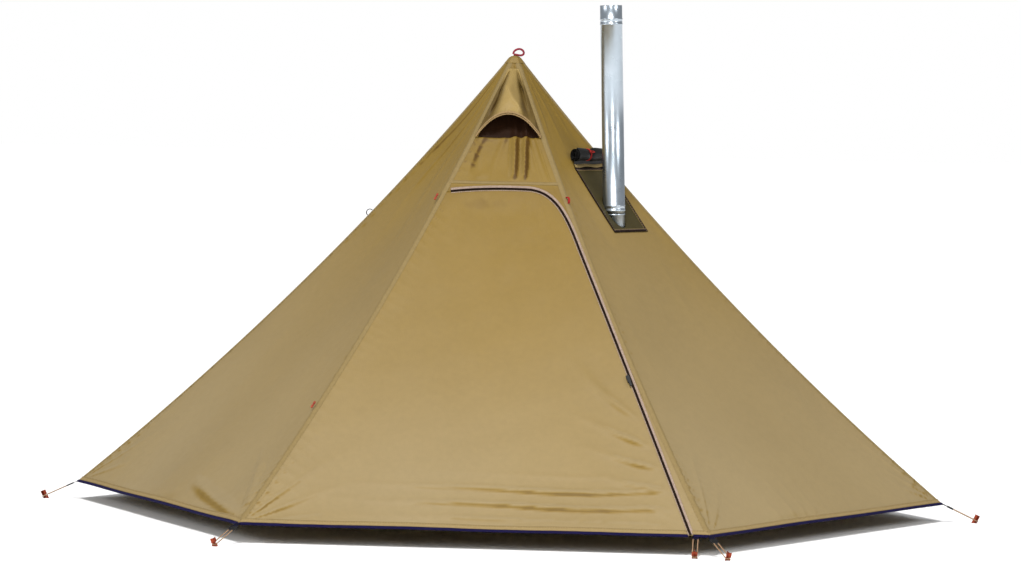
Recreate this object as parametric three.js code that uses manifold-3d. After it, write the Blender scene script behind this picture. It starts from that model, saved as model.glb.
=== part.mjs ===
// A hexagonal pyramid tent: one centre pole, six fabric panels, a zipped door, a hooded vent and a
// stove jack with its flue pipe. Millimetres, +Z up. The origin is the centre of the pole's foot on the
// ground, and the door faces -Y. The pegs are driven in, so their points lie below the ground.
import * as THREE from "three";
import { mergeVertices } from "three/addons/utils/BufferGeometryUtils.js";
import Module from "manifold-3d";

const wasm = await Module();
wasm.setup();

// Canopy
const SIDES = 6;
const STEP = Math.PI / 3;
const HEM_RADIUS = 1600; // centre to a corner of the hem
const HEM_Z = 70;
const APEX_Z = 1670;
const TOP_RADIUS = 22; // corner radius of the hexagonal hole under the apex cap
const RIDGE_SAG = 55; // how far a ridge hangs inside the straight line from apex to corner
const FABRIC = 1.6;
const GAP = 0.4; // kept between pieces that touch
const PANEL_STEPS = 14;

// Door and its zip, as places on the front panel: x across, z up
const ZIP_START = [-192, 1186];
const ZIP_CREST = [-60, 1202];
const ZIP_SHOULDER = [88, 1197];
const ZIP_BEND = [178, 1192, 226, 1122]; // the two control points of the rounded corner
const ZIP_CORNER_END = [286, 991];
const ZIP_FOOT = [735, 70];
const ZIP_SAMPLE = 90;
const ZIP_TAPE_WIDTH = 8;
const ZIP_TAPE_TOP = 1.5;
const DOOR_HINGE_INSET = 12;
const SLIDER_Z = 558;
const SLIDER_SIZE = [12, 5, 30];
const SLIDER_LIFT = 3; // clearance over the tape, which curves up towards both ends of its travel
const PULL_SIZE = [8, 2, 34];

// Seams and edges
const RIDGE_TAPE_WIDTH = 7; // on each side of a ridge
const HEM_BINDING_HEIGHT = 12;
const HEM_BINDING_DROP = 8;
const TRIM_TOP = 1.8; // outer face of bindings, measured out from the fabric

// Vent near the apex
const VENT_BASE = { z: 1383, halfWidth: 112 };
const VENT_TOP = { z: 1595, halfWidth: 22 };
const HOOD_TOP = { z: 1634, halfWidth: 19 };
const HOOD_END = { z: 1384, halfWidth: 122 };
const HOOD_RISE = 88; // crown of the brim above its two ends
const HOOD_BULGE = 62; // crown of the brim in front of the panel
const HOOD_OFFSET = 2.2;
const HOOD_THICKNESS = 1.4;
const BRIM_RADIUS = 3.5;

// Stove jack on the front right panel, in that panel's own front view
const JACK = { left: -52, right: 166, bottom: 1048, top: 1276 };
const JACK_MARGIN = 10;
const FLAP = { left: -50, right: 148 };
const FLAP_RADIUS = 26;
const FLAP_SEAM_Z = 1284;
const FLAP_TIE_X = 30;

// Flue pipe
const FLUE_AT = [388, -194, 1117]; // where its centre line passes through the jack
const FLUE_LEAN = THREE.MathUtils.degToRad(-2);
const FLUE_RADIUS = 40;
const FLUE_WALL = 1;
const FLUE_TOP = 752;
const FLUE_BOTTOM = -600;
const FLUE_JOINT = -4; // foot of the upper length
const FLUE_OVERLAP = 52;
const FLUE_FOOT_BEADS = [12, 28]; // above the foot of the upper length
const FLUE_TOP_BEADS = [68, 50]; // below its top
const JACK_HOLE_RADIUS = 42.5;

// Centre pole
const POLE_RADIUS = 14;
const POLE_WALL = 1.3;
const POLE_SPLIT_Z = 880;
const POLE_UPPER_BOTTOM = 700;
const POLE_UPPER_TOP = 1604;

// Corner anchors, along the line that slopes from the hem's corner to the peg
const TAB_LENGTH = 24;
const TAB_WIDTH = 20;
const BASE_TAB_LENGTH = 18.6; // at the foot of the zip
const BUCKLE_LENGTH = 24;
const BUCKLE_WIDTH = 28;
const BUCKLE_THICKNESS = 5;
const CORD_RADIUS = 2;
const CORD_TURN = 8.2; // bend radius round the peg
const PEG_OUT = 142; // hem to peg
const PEG_NECK_Z = 10; // height of the cord where it goes round the peg
const PEG_HEAD = 20;
const PEG_LENGTH = 180;
const PEG_ARM = 11;
const BASE_PEG_OUT = 100; // at the foot of the zip

// Ridge fittings
const APEX_LOOP_RADIUS = 3;
const GUY_LOOP = { z: 1160, outer: 14, inner: 11.5, width: 8 };
const GUY_LOOP_FRONT_LEFT_Z = 1090;
const TOGGLE_Z = { upper: 1162, lower: 446 };

const COLORS = {
  fabric: 0xaa915c,
  mesh: 0x2a2118,
  binding: 0x1d1738,
  zip: 0x241a14,
  webbing: 0x17171a,
  jack: 0x4a4625,
  roll: 0x121212,
  steel: 0xb8c2cc,
  aluminium: 0x9aa0a6,
  plastic: 0x101012,
  cord: 0x7a5236,
  red: 0x9c3a22,
};

function material(color, roughness, metalness = 0) {
  return new THREE.MeshStandardMaterial({ color, roughness, metalness });
}

const group = new THREE.Group();

function place(name, geometry, look, parent = group) {
  const mesh = new THREE.Mesh(geometry, look);
  mesh.name = name;
  parent.add(mesh);
  return mesh;
}

// ---- solids ----

function toManifold(geometry) {
  const bare = geometry.clone();
  bare.deleteAttribute("normal");
  bare.deleteAttribute("uv");
  const merged = mergeVertices(bare, 1e-4);
  return new wasm.Manifold(
    new wasm.Mesh({
      numProp: 3,
      vertProperties: new Float32Array(merged.attributes.position.array),
      triVerts: new Uint32Array(merged.index.array),
    }),
  );
}

function toGeometry(solid) {
  const mesh = solid.getMesh();
  const geometry = new THREE.BufferGeometry();
  geometry.setAttribute("position", new THREE.BufferAttribute(new Float32Array(mesh.vertProperties), 3));
  geometry.setIndex(new THREE.BufferAttribute(new Uint32Array(mesh.triVerts), 1));
  return geometry;
}

function subtract(geometry, ...tools) {
  return toGeometry(tools.reduce((solid, tool) => solid.subtract(toManifold(tool)), toManifold(geometry)));
}

function join(geometry, ...others) {
  return toGeometry(others.reduce((solid, other) => solid.add(toManifold(other)), toManifold(geometry)));
}

function intersect(geometry, other) {
  return toGeometry(toManifold(geometry).intersect(toManifold(other)));
}

// A solid skinned over closed rings of points. Each ring runs along one face and back along the other,
// so the end rings are closed by a strip of quads.
function loft(rings) {
  const sides = rings[0].length;
  const positions = rings.flat().flatMap((point) => [point.x, point.y, point.z]);
  const index = [];
  const quad = (a, b, c, d) => index.push(a, b, c, a, c, d);
  for (let i = 0; i + 1 < rings.length; i += 1) {
    for (let j = 0; j < sides; j += 1) {
      const a = i * sides + j;
      const b = i * sides + ((j + 1) % sides);
      quad(a, b, b + sides, a + sides);
    }
  }
  const last = (rings.length - 1) * sides;
  for (let j = 0; j + 1 < sides / 2; j += 1) {
    quad(j, sides - 1 - j, sides - 2 - j, j + 1);
    quad(last + j, last + j + 1, last + sides - 2 - j, last + sides - 1 - j);
  }
  const geometry = new THREE.BufferGeometry();
  geometry.setAttribute("position", new THREE.Float32BufferAttribute(positions, 3));
  geometry.setIndex(signedVolume(positions, index) < 0 ? index.reverse() : index);
  return geometry;
}

function signedVolume(positions, index) {
  const corner = (i) => new THREE.Vector3().fromArray(positions, 3 * i);
  let volume = 0;
  for (let i = 0; i < index.length; i += 3) {
    const [a, b, c] = [corner(index[i]), corner(index[i + 1]), corner(index[i + 2])];
    volume += a.dot(b.cross(c)) / 6;
  }
  return volume;
}

// A prism that runs through the front panel: the outline is in the front view, x across and z up.
function frontPrism(outline) {
  const shape = new THREE.Shape(outline.map(([x, z]) => new THREE.Vector2(x, z)));
  return new THREE.ExtrudeGeometry(shape, { depth: 2000, bevelEnabled: false }).rotateX(Math.PI / 2);
}

function box(size, centre) {
  return new THREE.BoxGeometry(...size).translate(...centre);
}

function lathe(profile, segments = 24) {
  const points = profile.map(([r, z]) => new THREE.Vector2(r, z));
  return new THREE.LatheGeometry(points, segments).rotateX(Math.PI / 2);
}

// A tube wall turned from its radii and heights; the profile closes on itself.
function tube(outer, inner, bottom, top, segments = 32) {
  return lathe([[inner, bottom], [outer, bottom], [outer, top], [inner, top], [inner, bottom]], segments);
}

function rod(path, radius, steps, sides = 8) {
  const section = new THREE.Shape().absarc(0, 0, radius, 0, 2 * Math.PI, false);
  const outline = new THREE.Shape(section.getSpacedPoints(sides).slice(0, sides));
  return new THREE.ExtrudeGeometry(outline, { steps, bevelEnabled: false, extrudePath: path });
}

// ---- the canopy's surface ----

const RUN = HEM_RADIUS - TOP_RADIUS;
const FALL = APEX_Z - HEM_Z;
const RIDGE_NORMAL = new THREE.Vector2(FALL, RUN).normalize(); // outward and up, in the ridge's own plane
const FACE_NORMAL = new THREE.Vector2(FALL, RUN * Math.cos(STEP / 2)).normalize();
const COS_HALF_FOLD =
  RIDGE_NORMAL.x * FACE_NORMAL.x * Math.cos(STEP / 2) + RIDGE_NORMAL.y * FACE_NORMAL.y;

// A ridge's radius and height: v runs from 0 at the apex to 1 at the hem, offset is out from the fabric.
function ridge(v, offset = 0) {
  const out = offset / COS_HALF_FOLD - 4 * RIDGE_SAG * v * (1 - v);
  return { r: TOP_RADIUS + RUN * v + out * RIDGE_NORMAL.x, z: APEX_Z - FALL * v + out * RIDGE_NORMAL.y };
}

function ridgeAt(z, offset = 0) {
  let low = -0.1;
  let high = 1.1;
  for (let i = 0; i < 40; i += 1) {
    const middle = (low + high) / 2;
    if (ridge(middle, offset).z > z) low = middle;
    else high = middle;
  }
  return ridge(low, offset);
}

function onFront(x, z, offset = 0) {
  return new THREE.Vector3(x, -ridgeAt(z, offset).r * Math.cos(STEP / 2), z);
}

function halfWidth(z, offset = 0) {
  return ridgeAt(z, offset).r / 2;
}

// A sheet on the front panel between two heights: left and right give its edges from the half width.
function frontSheet(top, bottom, left, right, inner, outer, steps = 6) {
  const rings = [];
  for (let i = 0; i <= steps; i += 1) {
    const z = THREE.MathUtils.lerp(top, bottom, i / steps);
    const [outside, inside] = [halfWidth(z, outer), halfWidth(z, inner)];
    rings.push([
      onFront(left(outside), z, outer),
      onFront(right(outside), z, outer),
      onFront(right(inside), z, inner),
      onFront(left(inside), z, inner),
    ]);
  }
  return loft(rings);
}

// A whole panel: its edges stop short of the mitre that it shares with the next panel.
function wholePanel(leftInset = GAP) {
  const rings = [];
  for (let i = 0; i <= PANEL_STEPS; i += 1) {
    const ring = [0, -FABRIC].map((offset) => {
      const { r, z } = ridge(i / PANEL_STEPS, offset);
      const y = -r * Math.cos(STEP / 2);
      const near = new THREE.Vector3(Math.min(-r / 2 + leftInset, 0), y, z);
      const far = new THREE.Vector3(r / 2 - GAP, y, z);
      return [near, far];
    });
    rings.push([ring[0][0], ring[0][1], ring[1][1], ring[1][0]]);
  }
  return loft(rings);
}

// ---- door and zip ----

function zipPath() {
  const path = new THREE.Path();
  path.moveTo(...ZIP_START);
  path.quadraticCurveTo(...ZIP_CREST, ...ZIP_SHOULDER);
  path.bezierCurveTo(...ZIP_BEND, ...ZIP_CORNER_END);
  path.lineTo(...ZIP_FOOT);
  return path;
}

function zipPoints() {
  const path = zipPath();
  const points = [path.getPoint(0)];
  const corners = path.getPoints(6);
  for (const next of corners.slice(1)) {
    const from = points[points.length - 1];
    const count = Math.ceil(from.distanceTo(next) / ZIP_SAMPLE);
    for (let i = 1; i <= count; i += 1) points.push(from.clone().lerp(next, i / count));
  }
  return points;
}

// Points moved sideways off the zip's line; a positive distance is away from the door.
function besideZip(distance) {
  const points = zipPoints();
  return points.map((point, i) => {
    const before = points[Math.max(i - 1, 0)];
    const after = points[Math.min(i + 1, points.length - 1)];
    const along = after.clone().sub(before).normalize();
    return new THREE.Vector2(point.x - along.y * distance, point.y + along.x * distance);
  });
}

function doorOutline(distance) {
  const line = besideZip(distance).map((point) => [point.x, point.y]);
  const foot = line[line.length - 1];
  return [[-HEM_RADIUS, 0], [-HEM_RADIUS, line[0][1]], ...line, [foot[0] + HEM_Z / 2, 0]];
}

function zipTape(from, to) {
  const near = besideZip(from);
  const far = besideZip(to);
  return loft(
    near.map((point, i) => [
      onFront(point.x, point.y, ZIP_TAPE_TOP),
      onFront(far[i].x, far[i].y, ZIP_TAPE_TOP),
      onFront(far[i].x, far[i].y, GAP),
      onFront(point.x, point.y, GAP),
    ]),
  );
}

function addDoor() {
  const fabric = material(COLORS.fabric, 0.75);
  place("door_panel", intersect(wholePanel(DOOR_HINGE_INSET), frontPrism(doorOutline(-1))), fabric);
  place("zip_tape_door", zipTape(-GAP, -ZIP_TAPE_WIDTH), material(COLORS.zip, 0.6));
  place("zip_tape_canopy", zipTape(GAP, ZIP_TAPE_WIDTH), material(COLORS.zip, 0.6));
  place("door_hem_binding", doorHemBinding(), material(COLORS.binding, 0.7));
  addSlider();
}

// The slider lies on the door's half of the zip, in a frame whose z runs up along the zip.
function addSlider() {
  const foot = new THREE.Vector2(...ZIP_FOOT);
  const up = new THREE.Vector2(...ZIP_CORNER_END).sub(foot).normalize();
  const across = (z) => foot.x + ((z - foot.y) * up.x) / up.y;
  const below = onFront(across(SLIDER_Z - 60), SLIDER_Z - 60);
  const above = onFront(across(SLIDER_Z + 60), SLIDER_Z + 60);
  const at = onFront(across(SLIDER_Z), SLIDER_Z);
  const zAxis = above.clone().sub(below).normalize();
  const yAxis = new THREE.Vector3(0, -FACE_NORMAL.x, FACE_NORMAL.y).negate();
  const xAxis = yAxis.clone().cross(zAxis).normalize();
  const frame = new THREE.Group();
  frame.matrix.makeBasis(xAxis, zAxis.clone().cross(xAxis), zAxis).setPosition(at);
  frame.matrix.decompose(frame.position, frame.quaternion, frame.scale);
  group.add(frame);
  const out = -(ZIP_TAPE_TOP + SLIDER_LIFT + SLIDER_SIZE[1] / 2);
  const aside = -(SLIDER_SIZE[0] / 2 + 1);
  const dark = material(COLORS.plastic, 0.45, 0.3);
  place("zip_slider", box(SLIDER_SIZE, [aside, out, 0]), dark, frame);
  const pullOut = out - SLIDER_SIZE[1] / 2 - PULL_SIZE[1] / 2 - GAP;
  place("zip_pull", box(PULL_SIZE, [aside, pullOut, -PULL_SIZE[2] / 2]), dark, frame);
}

// ---- panels and trim ----

function addPanels() {
  const fabric = () => material(COLORS.fabric, 0.75);
  const vent = frontPrism([
    [-VENT_BASE.halfWidth, VENT_BASE.z],
    [VENT_BASE.halfWidth, VENT_BASE.z],
    [VENT_TOP.halfWidth, VENT_TOP.z],
    [-VENT_TOP.halfWidth, VENT_TOP.z],
  ]);
  place("front_panel", subtract(wholePanel(), frontPrism(doorOutline(1)), vent), fabric());
  const names = ["front_right", "back_right", "back", "back_left", "front_left"];
  names.forEach((name, i) => {
    const geometry = i === 0 ? subtract(wholePanel(), jackPrism(JACK_MARGIN)) : wholePanel();
    const panel = place(`panel_${name}`, geometry, fabric());
    panel.rotation.z = (i + 1) * STEP;
  });
}

function ridgeTape(k) {
  const rings = [];
  for (let i = 0; i <= PANEL_STEPS; i += 1) {
    const v = i / PANEL_STEPS;
    const at = (offset, side) => {
      const { r, z } = ridge(v, offset);
      const width = (i === 0 ? r / 2 + 1 : RIDGE_TAPE_WIDTH) * Math.abs(side);
      const point = new THREE.Vector3(r / 2 - width, -r * Math.cos(STEP / 2), z);
      const toRidge = new THREE.Vector3(-point.x, point.y, point.z);
      return side > 0
        ? toRidge.applyAxisAngle(new THREE.Vector3(0, 0, 1), (k + 1) * STEP)
        : point.applyAxisAngle(new THREE.Vector3(0, 0, 1), k * STEP);
    };
    const outside = [-1, 0, 1].map((side) => at(TRIM_TOP, side));
    const inside = [1, 0, -1].map((side) => at(GAP, side));
    rings.push([...outside, ...inside]);
  }
  return loft(rings);
}

function addRidgeTapes() {
  const tapes = Array.from({ length: SIDES }, (_, k) => ridgeTape(k));
  place("ridge_tapes", join(...tapes), material(COLORS.fabric, 0.7));
}

// One section of the hem binding at a corner (side is 0) or at x on the front panel.
function hemSection(angle, x = null) {
  const top = 1 - HEM_BINDING_HEIGHT / FALL;
  const bottom = 1 + HEM_BINDING_DROP / FALL;
  const [outer, inner] = [2 * TRIM_TOP, TRIM_TOP + GAP];
  return [[top, outer], [bottom, outer], [bottom, inner], [top, inner]].map(([v, offset]) => {
    const { r, z } = ridge(v, offset);
    const point = new THREE.Vector3(x === null ? r / 2 : x, -r * Math.cos(STEP / 2), z);
    return point.applyAxisAngle(new THREE.Vector3(0, 0, 1), angle);
  });
}

function doorHemBinding() {
  const left = -HEM_RADIUS / 2 + DOOR_HINGE_INSET + 4;
  const right = ZIP_FOOT[0] - ZIP_TAPE_WIDTH - 2;
  return loft([hemSection(0, left), hemSection(0, right)]);
}

function addHem() {
  const start = ZIP_FOOT[0] + ZIP_TAPE_WIDTH + 2;
  const sections = [hemSection(0, start)];
  for (let k = 0; k < SIDES; k += 1) sections.push(hemSection(k * STEP));
  const tabs = cornerAngles().map((angle) => {
    const tab = box([TAB_LENGTH, TAB_WIDTH, 2], [TAB_LENGTH / 2 + 1, 0, 0]);
    return tab.applyMatrix4(cornerMatrix(angle));
  });
  const baseTab = box([BASE_TAB_LENGTH, TAB_WIDTH, 3.6], [BASE_TAB_LENGTH / 2 + 1, 0, 1.8]);
  baseTab.applyMatrix4(baseMatrix());
  place("hem_binding", join(loft(sections), ...tabs, baseTab), material(COLORS.binding, 0.7));
}

// ---- corner anchors ----

function cornerAngles() {
  return Array.from({ length: SIDES }, (_, k) => -2 * STEP + k * STEP);
}

function slopeMatrix(angle, from, out) {
  const pitch = Math.asin((HEM_Z - PEG_NECK_Z) / out);
  return new THREE.Matrix4()
    .makeTranslation(from)
    .multiply(new THREE.Matrix4().makeRotationZ(angle))
    .multiply(new THREE.Matrix4().makeRotationY(pitch));
}

// The frame of a corner's strap: x runs out and down to the peg, z is the peg's own axis.
function cornerMatrix(angle) {
  const from = new THREE.Vector3(HEM_RADIUS * Math.cos(angle), HEM_RADIUS * Math.sin(angle), HEM_Z);
  return slopeMatrix(angle, from, PEG_OUT);
}

function baseMatrix() {
  const from = onFront(ZIP_FOOT[0] + ZIP_TAPE_WIDTH + 10, HEM_Z);
  return slopeMatrix(-Math.PI / 2, from, BASE_PEG_OUT);
}

function frameOf(matrix) {
  const frame = new THREE.Group();
  matrix.decompose(frame.position, frame.quaternion, frame.scale);
  group.add(frame);
  return frame;
}

function buckleGeometry() {
  const half = BUCKLE_WIDTH / 2;
  const shape = new THREE.Shape();
  shape.moveTo(0, -half);
  shape.lineTo(BUCKLE_LENGTH, 3 - half);
  shape.lineTo(BUCKLE_LENGTH, half - 3);
  shape.lineTo(0, half);
  const body = new THREE.ExtrudeGeometry(shape, { depth: BUCKLE_THICKNESS, bevelEnabled: false });
  body.translate(0, 0, -BUCKLE_THICKNESS / 2);
  const slots = [[6, 4], [16.5, 5]].map(([x, wide]) => box([wide, BUCKLE_WIDTH - 8, 20], [x, 0, 0]));
  return subtract(body, ...slots);
}

// A cord from start, round the peg and back, in the strap's plane.
function cordGeometry(start, pegX) {
  const middle = (start + pegX) / 2;
  const points = [new THREE.Vector3(start, CORD_TURN, 0), new THREE.Vector3(middle, CORD_TURN, 0)];
  for (let i = 0; i <= 8; i += 1) {
    const turn = (i / 8) * Math.PI;
    points.push(new THREE.Vector3(pegX + CORD_TURN * Math.sin(turn), CORD_TURN * Math.cos(turn), 0));
  }
  points.push(new THREE.Vector3(middle, -CORD_TURN, 0), new THREE.Vector3(start, -CORD_TURN, 0));
  return rod(new THREE.CatmullRomCurve3(points, false, "centripetal"), CORD_RADIUS, 30);
}

// A three-armed stake with a pointed end and a neck for the cord, which lies at z = 0.
function pegGeometry() {
  const shape = new THREE.Shape();
  for (let k = 0; k < 3; k += 1) {
    const turn = Math.PI + (k / 3) * 2 * Math.PI;
    for (const [r, side] of [[PEG_ARM, -1], [PEG_ARM, 1], [0.6, 1]]) {
      const x = r * Math.cos(turn) - side * Math.sin(turn);
      const y = r * Math.sin(turn) + side * Math.cos(turn);
      if (shape.curves.length === 0 && k === 0 && side === -1) shape.moveTo(x, y);
      else shape.lineTo(x, y);
    }
  }
  const stake = new THREE.ExtrudeGeometry(shape, { depth: PEG_LENGTH, bevelEnabled: false });
  stake.translate(0, 0, PEG_HEAD - PEG_LENGTH);
  const end = PEG_HEAD - PEG_LENGTH;
  const point = lathe([[0, end], [2, end], [PEG_ARM + 2, end + 32], [PEG_ARM + 2, 30], [0, 30]], 12);
  return subtract(intersect(stake, point), tube(PEG_ARM + 3, 5.6, -2.6, 2.6, 16));
}

function addCorners() {
  const plastic = material(COLORS.plastic, 0.5);
  const cord = material(COLORS.cord, 0.8);
  const red = material(COLORS.red, 0.45, 0.6);
  cornerAngles().forEach((angle, k) => {
    const frame = frameOf(cornerMatrix(angle));
    const buckleX = TAB_LENGTH + 1 + GAP;
    place(`corner_buckle_${k + 1}`, buckleGeometry(), plastic, frame).position.x = buckleX;
    const start = buckleX + BUCKLE_LENGTH + GAP;
    place(`corner_cord_${k + 1}`, cordGeometry(start, PEG_OUT), cord, frame);
    place(`peg_${k + 1}`, pegGeometry(), red, frame).position.x = PEG_OUT;
  });
  const base = frameOf(baseMatrix());
  place("door_base_cord", cordGeometry(20, BASE_PEG_OUT), cord, base);
  place("peg_7", pegGeometry(), red, base).position.x = BASE_PEG_OUT;
}

// ---- apex, pole ----

function addApex() {
  const outside = [[48, 1651], [26, 1673.5], [8, 1681], [0, 1682]];
  const inside = [[0, 1680], [8, 1679], [25.5, 1671.9], [46, 1651]];
  place("apex_cap", lathe([...outside, ...inside, outside[0]]), material(COLORS.fabric, 0.7));
  const cup = lathe([[0, 1646], [6.5, 1646], [6.5, 1616], [15, 1616], [17, 1654], [0, 1654]]);
  place("apex_pole_cup", cup, material(COLORS.webbing, 0.7));
  const rise = [[-6, 1686.5], [-5, 1695], [3, 1703], [17, 1707]];
  const droop = [[30, 1701], [34, 1689], [24, 1681], [5, 1686.5]];
  const knots = [...rise, ...droop].map(([x, z]) => new THREE.Vector3(x, 0, z));
  const loop = new THREE.CatmullRomCurve3(knots);
  place("apex_loop", rod(loop, APEX_LOOP_RADIUS, 28), material(COLORS.red, 0.7));
}

function addPole() {
  const metal = material(COLORS.aluminium, 0.35, 0.9);
  const plastic = material(COLORS.plastic, 0.5);
  const foot = lathe([[0, 0], [24, 0], [24, 4], [18, 8], [17.5, 32], [14.4, 32], [14.4, 8], [0, 8]]);
  place("pole_foot", foot, plastic);
  place("pole_lower", tube(POLE_RADIUS, POLE_RADIUS - POLE_WALL, 8.5, POLE_SPLIT_Z, 20), metal);
  const grip = [[14.4, 846], [20, 846], [20, 890], [17, 898]];
  const bore = [[12.7, 898], [12.7, 880.5], [14.4, 880.5], [14.4, 846]];
  const lever = box([10, 10, 34], [23, 0, 868]);
  place("pole_clamp", join(lathe([...grip, ...bore]), lever), plastic);
  place("pole_upper", tube(12.3, 11, POLE_UPPER_BOTTOM, POLE_UPPER_TOP, 20), metal);
  const plug = [[0, 1566], [10.7, 1566], [10.7, 1604.5], [12.3, 1604.5]];
  const spike = [[12.3, 1609], [5.6, 1612], [5, 1642], [0, 1642]];
  place("pole_tip", lathe([...plug, ...spike], 20), plastic);
}

// ---- vent ----

function hoodPoint(across, down, offset) {
  const end = onFront(HOOD_END.halfWidth * across, HOOD_END.z, HOOD_OFFSET + offset);
  const crown = 1 - across * across;
  end.z += HOOD_RISE * crown;
  const behind = onFront(0, end.z, HOOD_OFFSET + offset);
  end.y = behind.y - HOOD_BULGE * crown;
  const start = onFront(HOOD_TOP.halfWidth * across, HOOD_TOP.z, HOOD_OFFSET + offset + 2 * crown);
  return start.lerp(end, down);
}

function addVent() {
  const across = Array.from({ length: 13 }, (_, i) => -1 + i / 6);
  const rings = [];
  for (let i = 0; i <= 6; i += 1) {
    const outside = across.map((s) => hoodPoint(s, i / 6, HOOD_THICKNESS));
    const inside = across.map((s) => hoodPoint(s, i / 6, 0));
    rings.push([...outside, ...inside.reverse()]);
  }
  place("vent_hood", loft(rings), material(COLORS.fabric, 0.75));
  const below = new THREE.Vector3(0, -BRIM_RADIUS - 1, -BRIM_RADIUS - 1.4);
  const brimPath = across.map((s) => hoodPoint(s * 0.97, 1, 0).add(below));
  const brim = rod(new THREE.CatmullRomCurve3(brimPath), BRIM_RADIUS, 24);
  place("vent_brim", brim, material(COLORS.fabric, 0.6));
  const edge = (half) => half - 6;
  const depth = -(FABRIC + GAP);
  const net = frontSheet(1606, 1370, (half) => -edge(half), edge, depth - 1, depth, 4);
  place("vent_mesh", net, material(COLORS.mesh, 0.9));
}

// ---- stove jack, flap and flue ----

function jackPrism(margin) {
  const { left, right, bottom, top } = JACK;
  return frontPrism([
    [left + margin, bottom + margin],
    [right - margin, bottom + margin],
    [right - margin, top - margin],
    [left + margin, top - margin],
  ]);
}

function flueMatrix() {
  const at = new THREE.Vector3(...FLUE_AT);
  return new THREE.Matrix4().makeTranslation(at).multiply(new THREE.Matrix4().makeRotationY(FLUE_LEAN));
}

function jackSheet(inner, outer, grow) {
  const left = () => JACK.left - grow;
  const right = () => JACK.right + grow;
  return frontSheet(JACK.top + grow, JACK.bottom - grow, left, right, inner, outer);
}

function addJack() {
  const frame = new THREE.Group();
  frame.rotation.z = STEP;
  group.add(frame);
  const hole = new THREE.CylinderGeometry(JACK_HOLE_RADIUS, JACK_HOLE_RADIUS, 300, 40)
    .rotateX(Math.PI / 2)
    .applyMatrix4(flueMatrix())
    .rotateZ(-STEP);
  const patch = subtract(jackSheet(GAP, TRIM_TOP, 0), hole);
  place("stove_jack_patch", patch, material(COLORS.jack, 0.9), frame);
  const binding = subtract(jackSheet(TRIM_TOP + GAP, 2 * TRIM_TOP, 2), jackPrism(JACK_MARGIN - 2));
  place("stove_jack_binding", binding, material(COLORS.binding, 0.7), frame);
  addFlap(frame);
}

// The rolled cover lies above its seam: a roll with a narrow waist under its tie, and a flat tail.
function addFlap(frame) {
  const lift = FLAP_RADIUS + 3;
  const up = new THREE.Vector3(0, FACE_NORMAL.y, FACE_NORMAL.x);
  const centre = onFront(0, FLAP_SEAM_Z, lift).addScaledVector(up, FLAP_RADIUS + 2);
  const half = (FLAP.right - FLAP.left) / 2;
  const middle = (FLAP.left + FLAP.right) / 2;
  const waist = FLAP_TIE_X - middle;
  const profile = [
    [0, -half],
    [FLAP_RADIUS - 4, -half],
    [FLAP_RADIUS, -half + 5],
    [FLAP_RADIUS, waist - 22],
    [FLAP_RADIUS - 6, waist - 4],
    [FLAP_RADIUS - 6, waist + 4],
    [FLAP_RADIUS, waist + 22],
    [FLAP_RADIUS, half - 5],
    [FLAP_RADIUS - 4, half],
    [0, half],
  ];
  const roll = lathe(profile, 20).rotateY(Math.PI / 2).translate(middle, centre.y, centre.z);
  const tail = frontSheet(FLAP_SEAM_Z + 30, FLAP_SEAM_Z, () => FLAP.left, () => FLAP.right, GAP, 3.6, 2);
  place("stove_flap_roll", join(roll, tail), material(COLORS.roll, 0.8), frame);
  const tie = tube(FLAP_RADIUS - 2.6, FLAP_RADIUS - 5.4, waist - 3, waist + 3, 20);
  tie.rotateY(Math.PI / 2).translate(middle, centre.y, centre.z);
  place("stove_flap_tie", tie, material(COLORS.red, 0.7), frame);
}

function bead(z, radius) {
  return [[radius, z - 2.5], [radius + 1.5, z - 1.2], [radius + 1.5, z + 1.2], [radius, z + 2.5]];
}

function addFlue() {
  const frame = frameOf(flueMatrix());
  const steel = material(COLORS.steel, 0.25, 1);
  const outer = FLUE_RADIUS;
  const inner = FLUE_RADIUS - FLUE_WALL;
  const upper = [
    [inner, FLUE_JOINT],
    [outer, FLUE_JOINT],
    ...FLUE_FOOT_BEADS.flatMap((height) => bead(FLUE_JOINT + height, outer)),
    ...FLUE_TOP_BEADS.flatMap((drop) => bead(FLUE_TOP - drop, outer)),
    [outer, FLUE_TOP],
    [inner, FLUE_TOP],
    [inner, FLUE_JOINT],
  ];
  place("flue_upper", lathe(upper, 32), steel, frame);
  const spigot = inner - GAP;
  const lower = [
    [spigot - FLUE_WALL, FLUE_BOTTOM],
    [spigot, FLUE_BOTTOM],
    ...bead(FLUE_BOTTOM + 40, spigot),
    ...bead(FLUE_JOINT - 3, spigot),
    [spigot, FLUE_JOINT + FLUE_OVERLAP],
    [spigot - FLUE_WALL, FLUE_JOINT + FLUE_OVERLAP],
    [spigot - FLUE_WALL, FLUE_BOTTOM],
  ];
  place("flue_lower", lathe(lower, 32), steel, frame);
}

// ---- ridge fittings ----

// A frame on a ridge: x points out of the fabric, z points up along the ridge.
function ridgeMatrix(angle, z) {
  const { r } = ridgeAt(z);
  const near = ridgeAt(z + 20);
  const up = new THREE.Vector3(near.r - r, 0, 20).normalize();
  const side = new THREE.Vector3(0, 1, 0);
  return new THREE.Matrix4()
    .makeRotationZ(angle)
    .multiply(new THREE.Matrix4().makeTranslation(r, 0, z))
    .multiply(new THREE.Matrix4().makeBasis(side.clone().cross(up), side, up));
}

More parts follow.
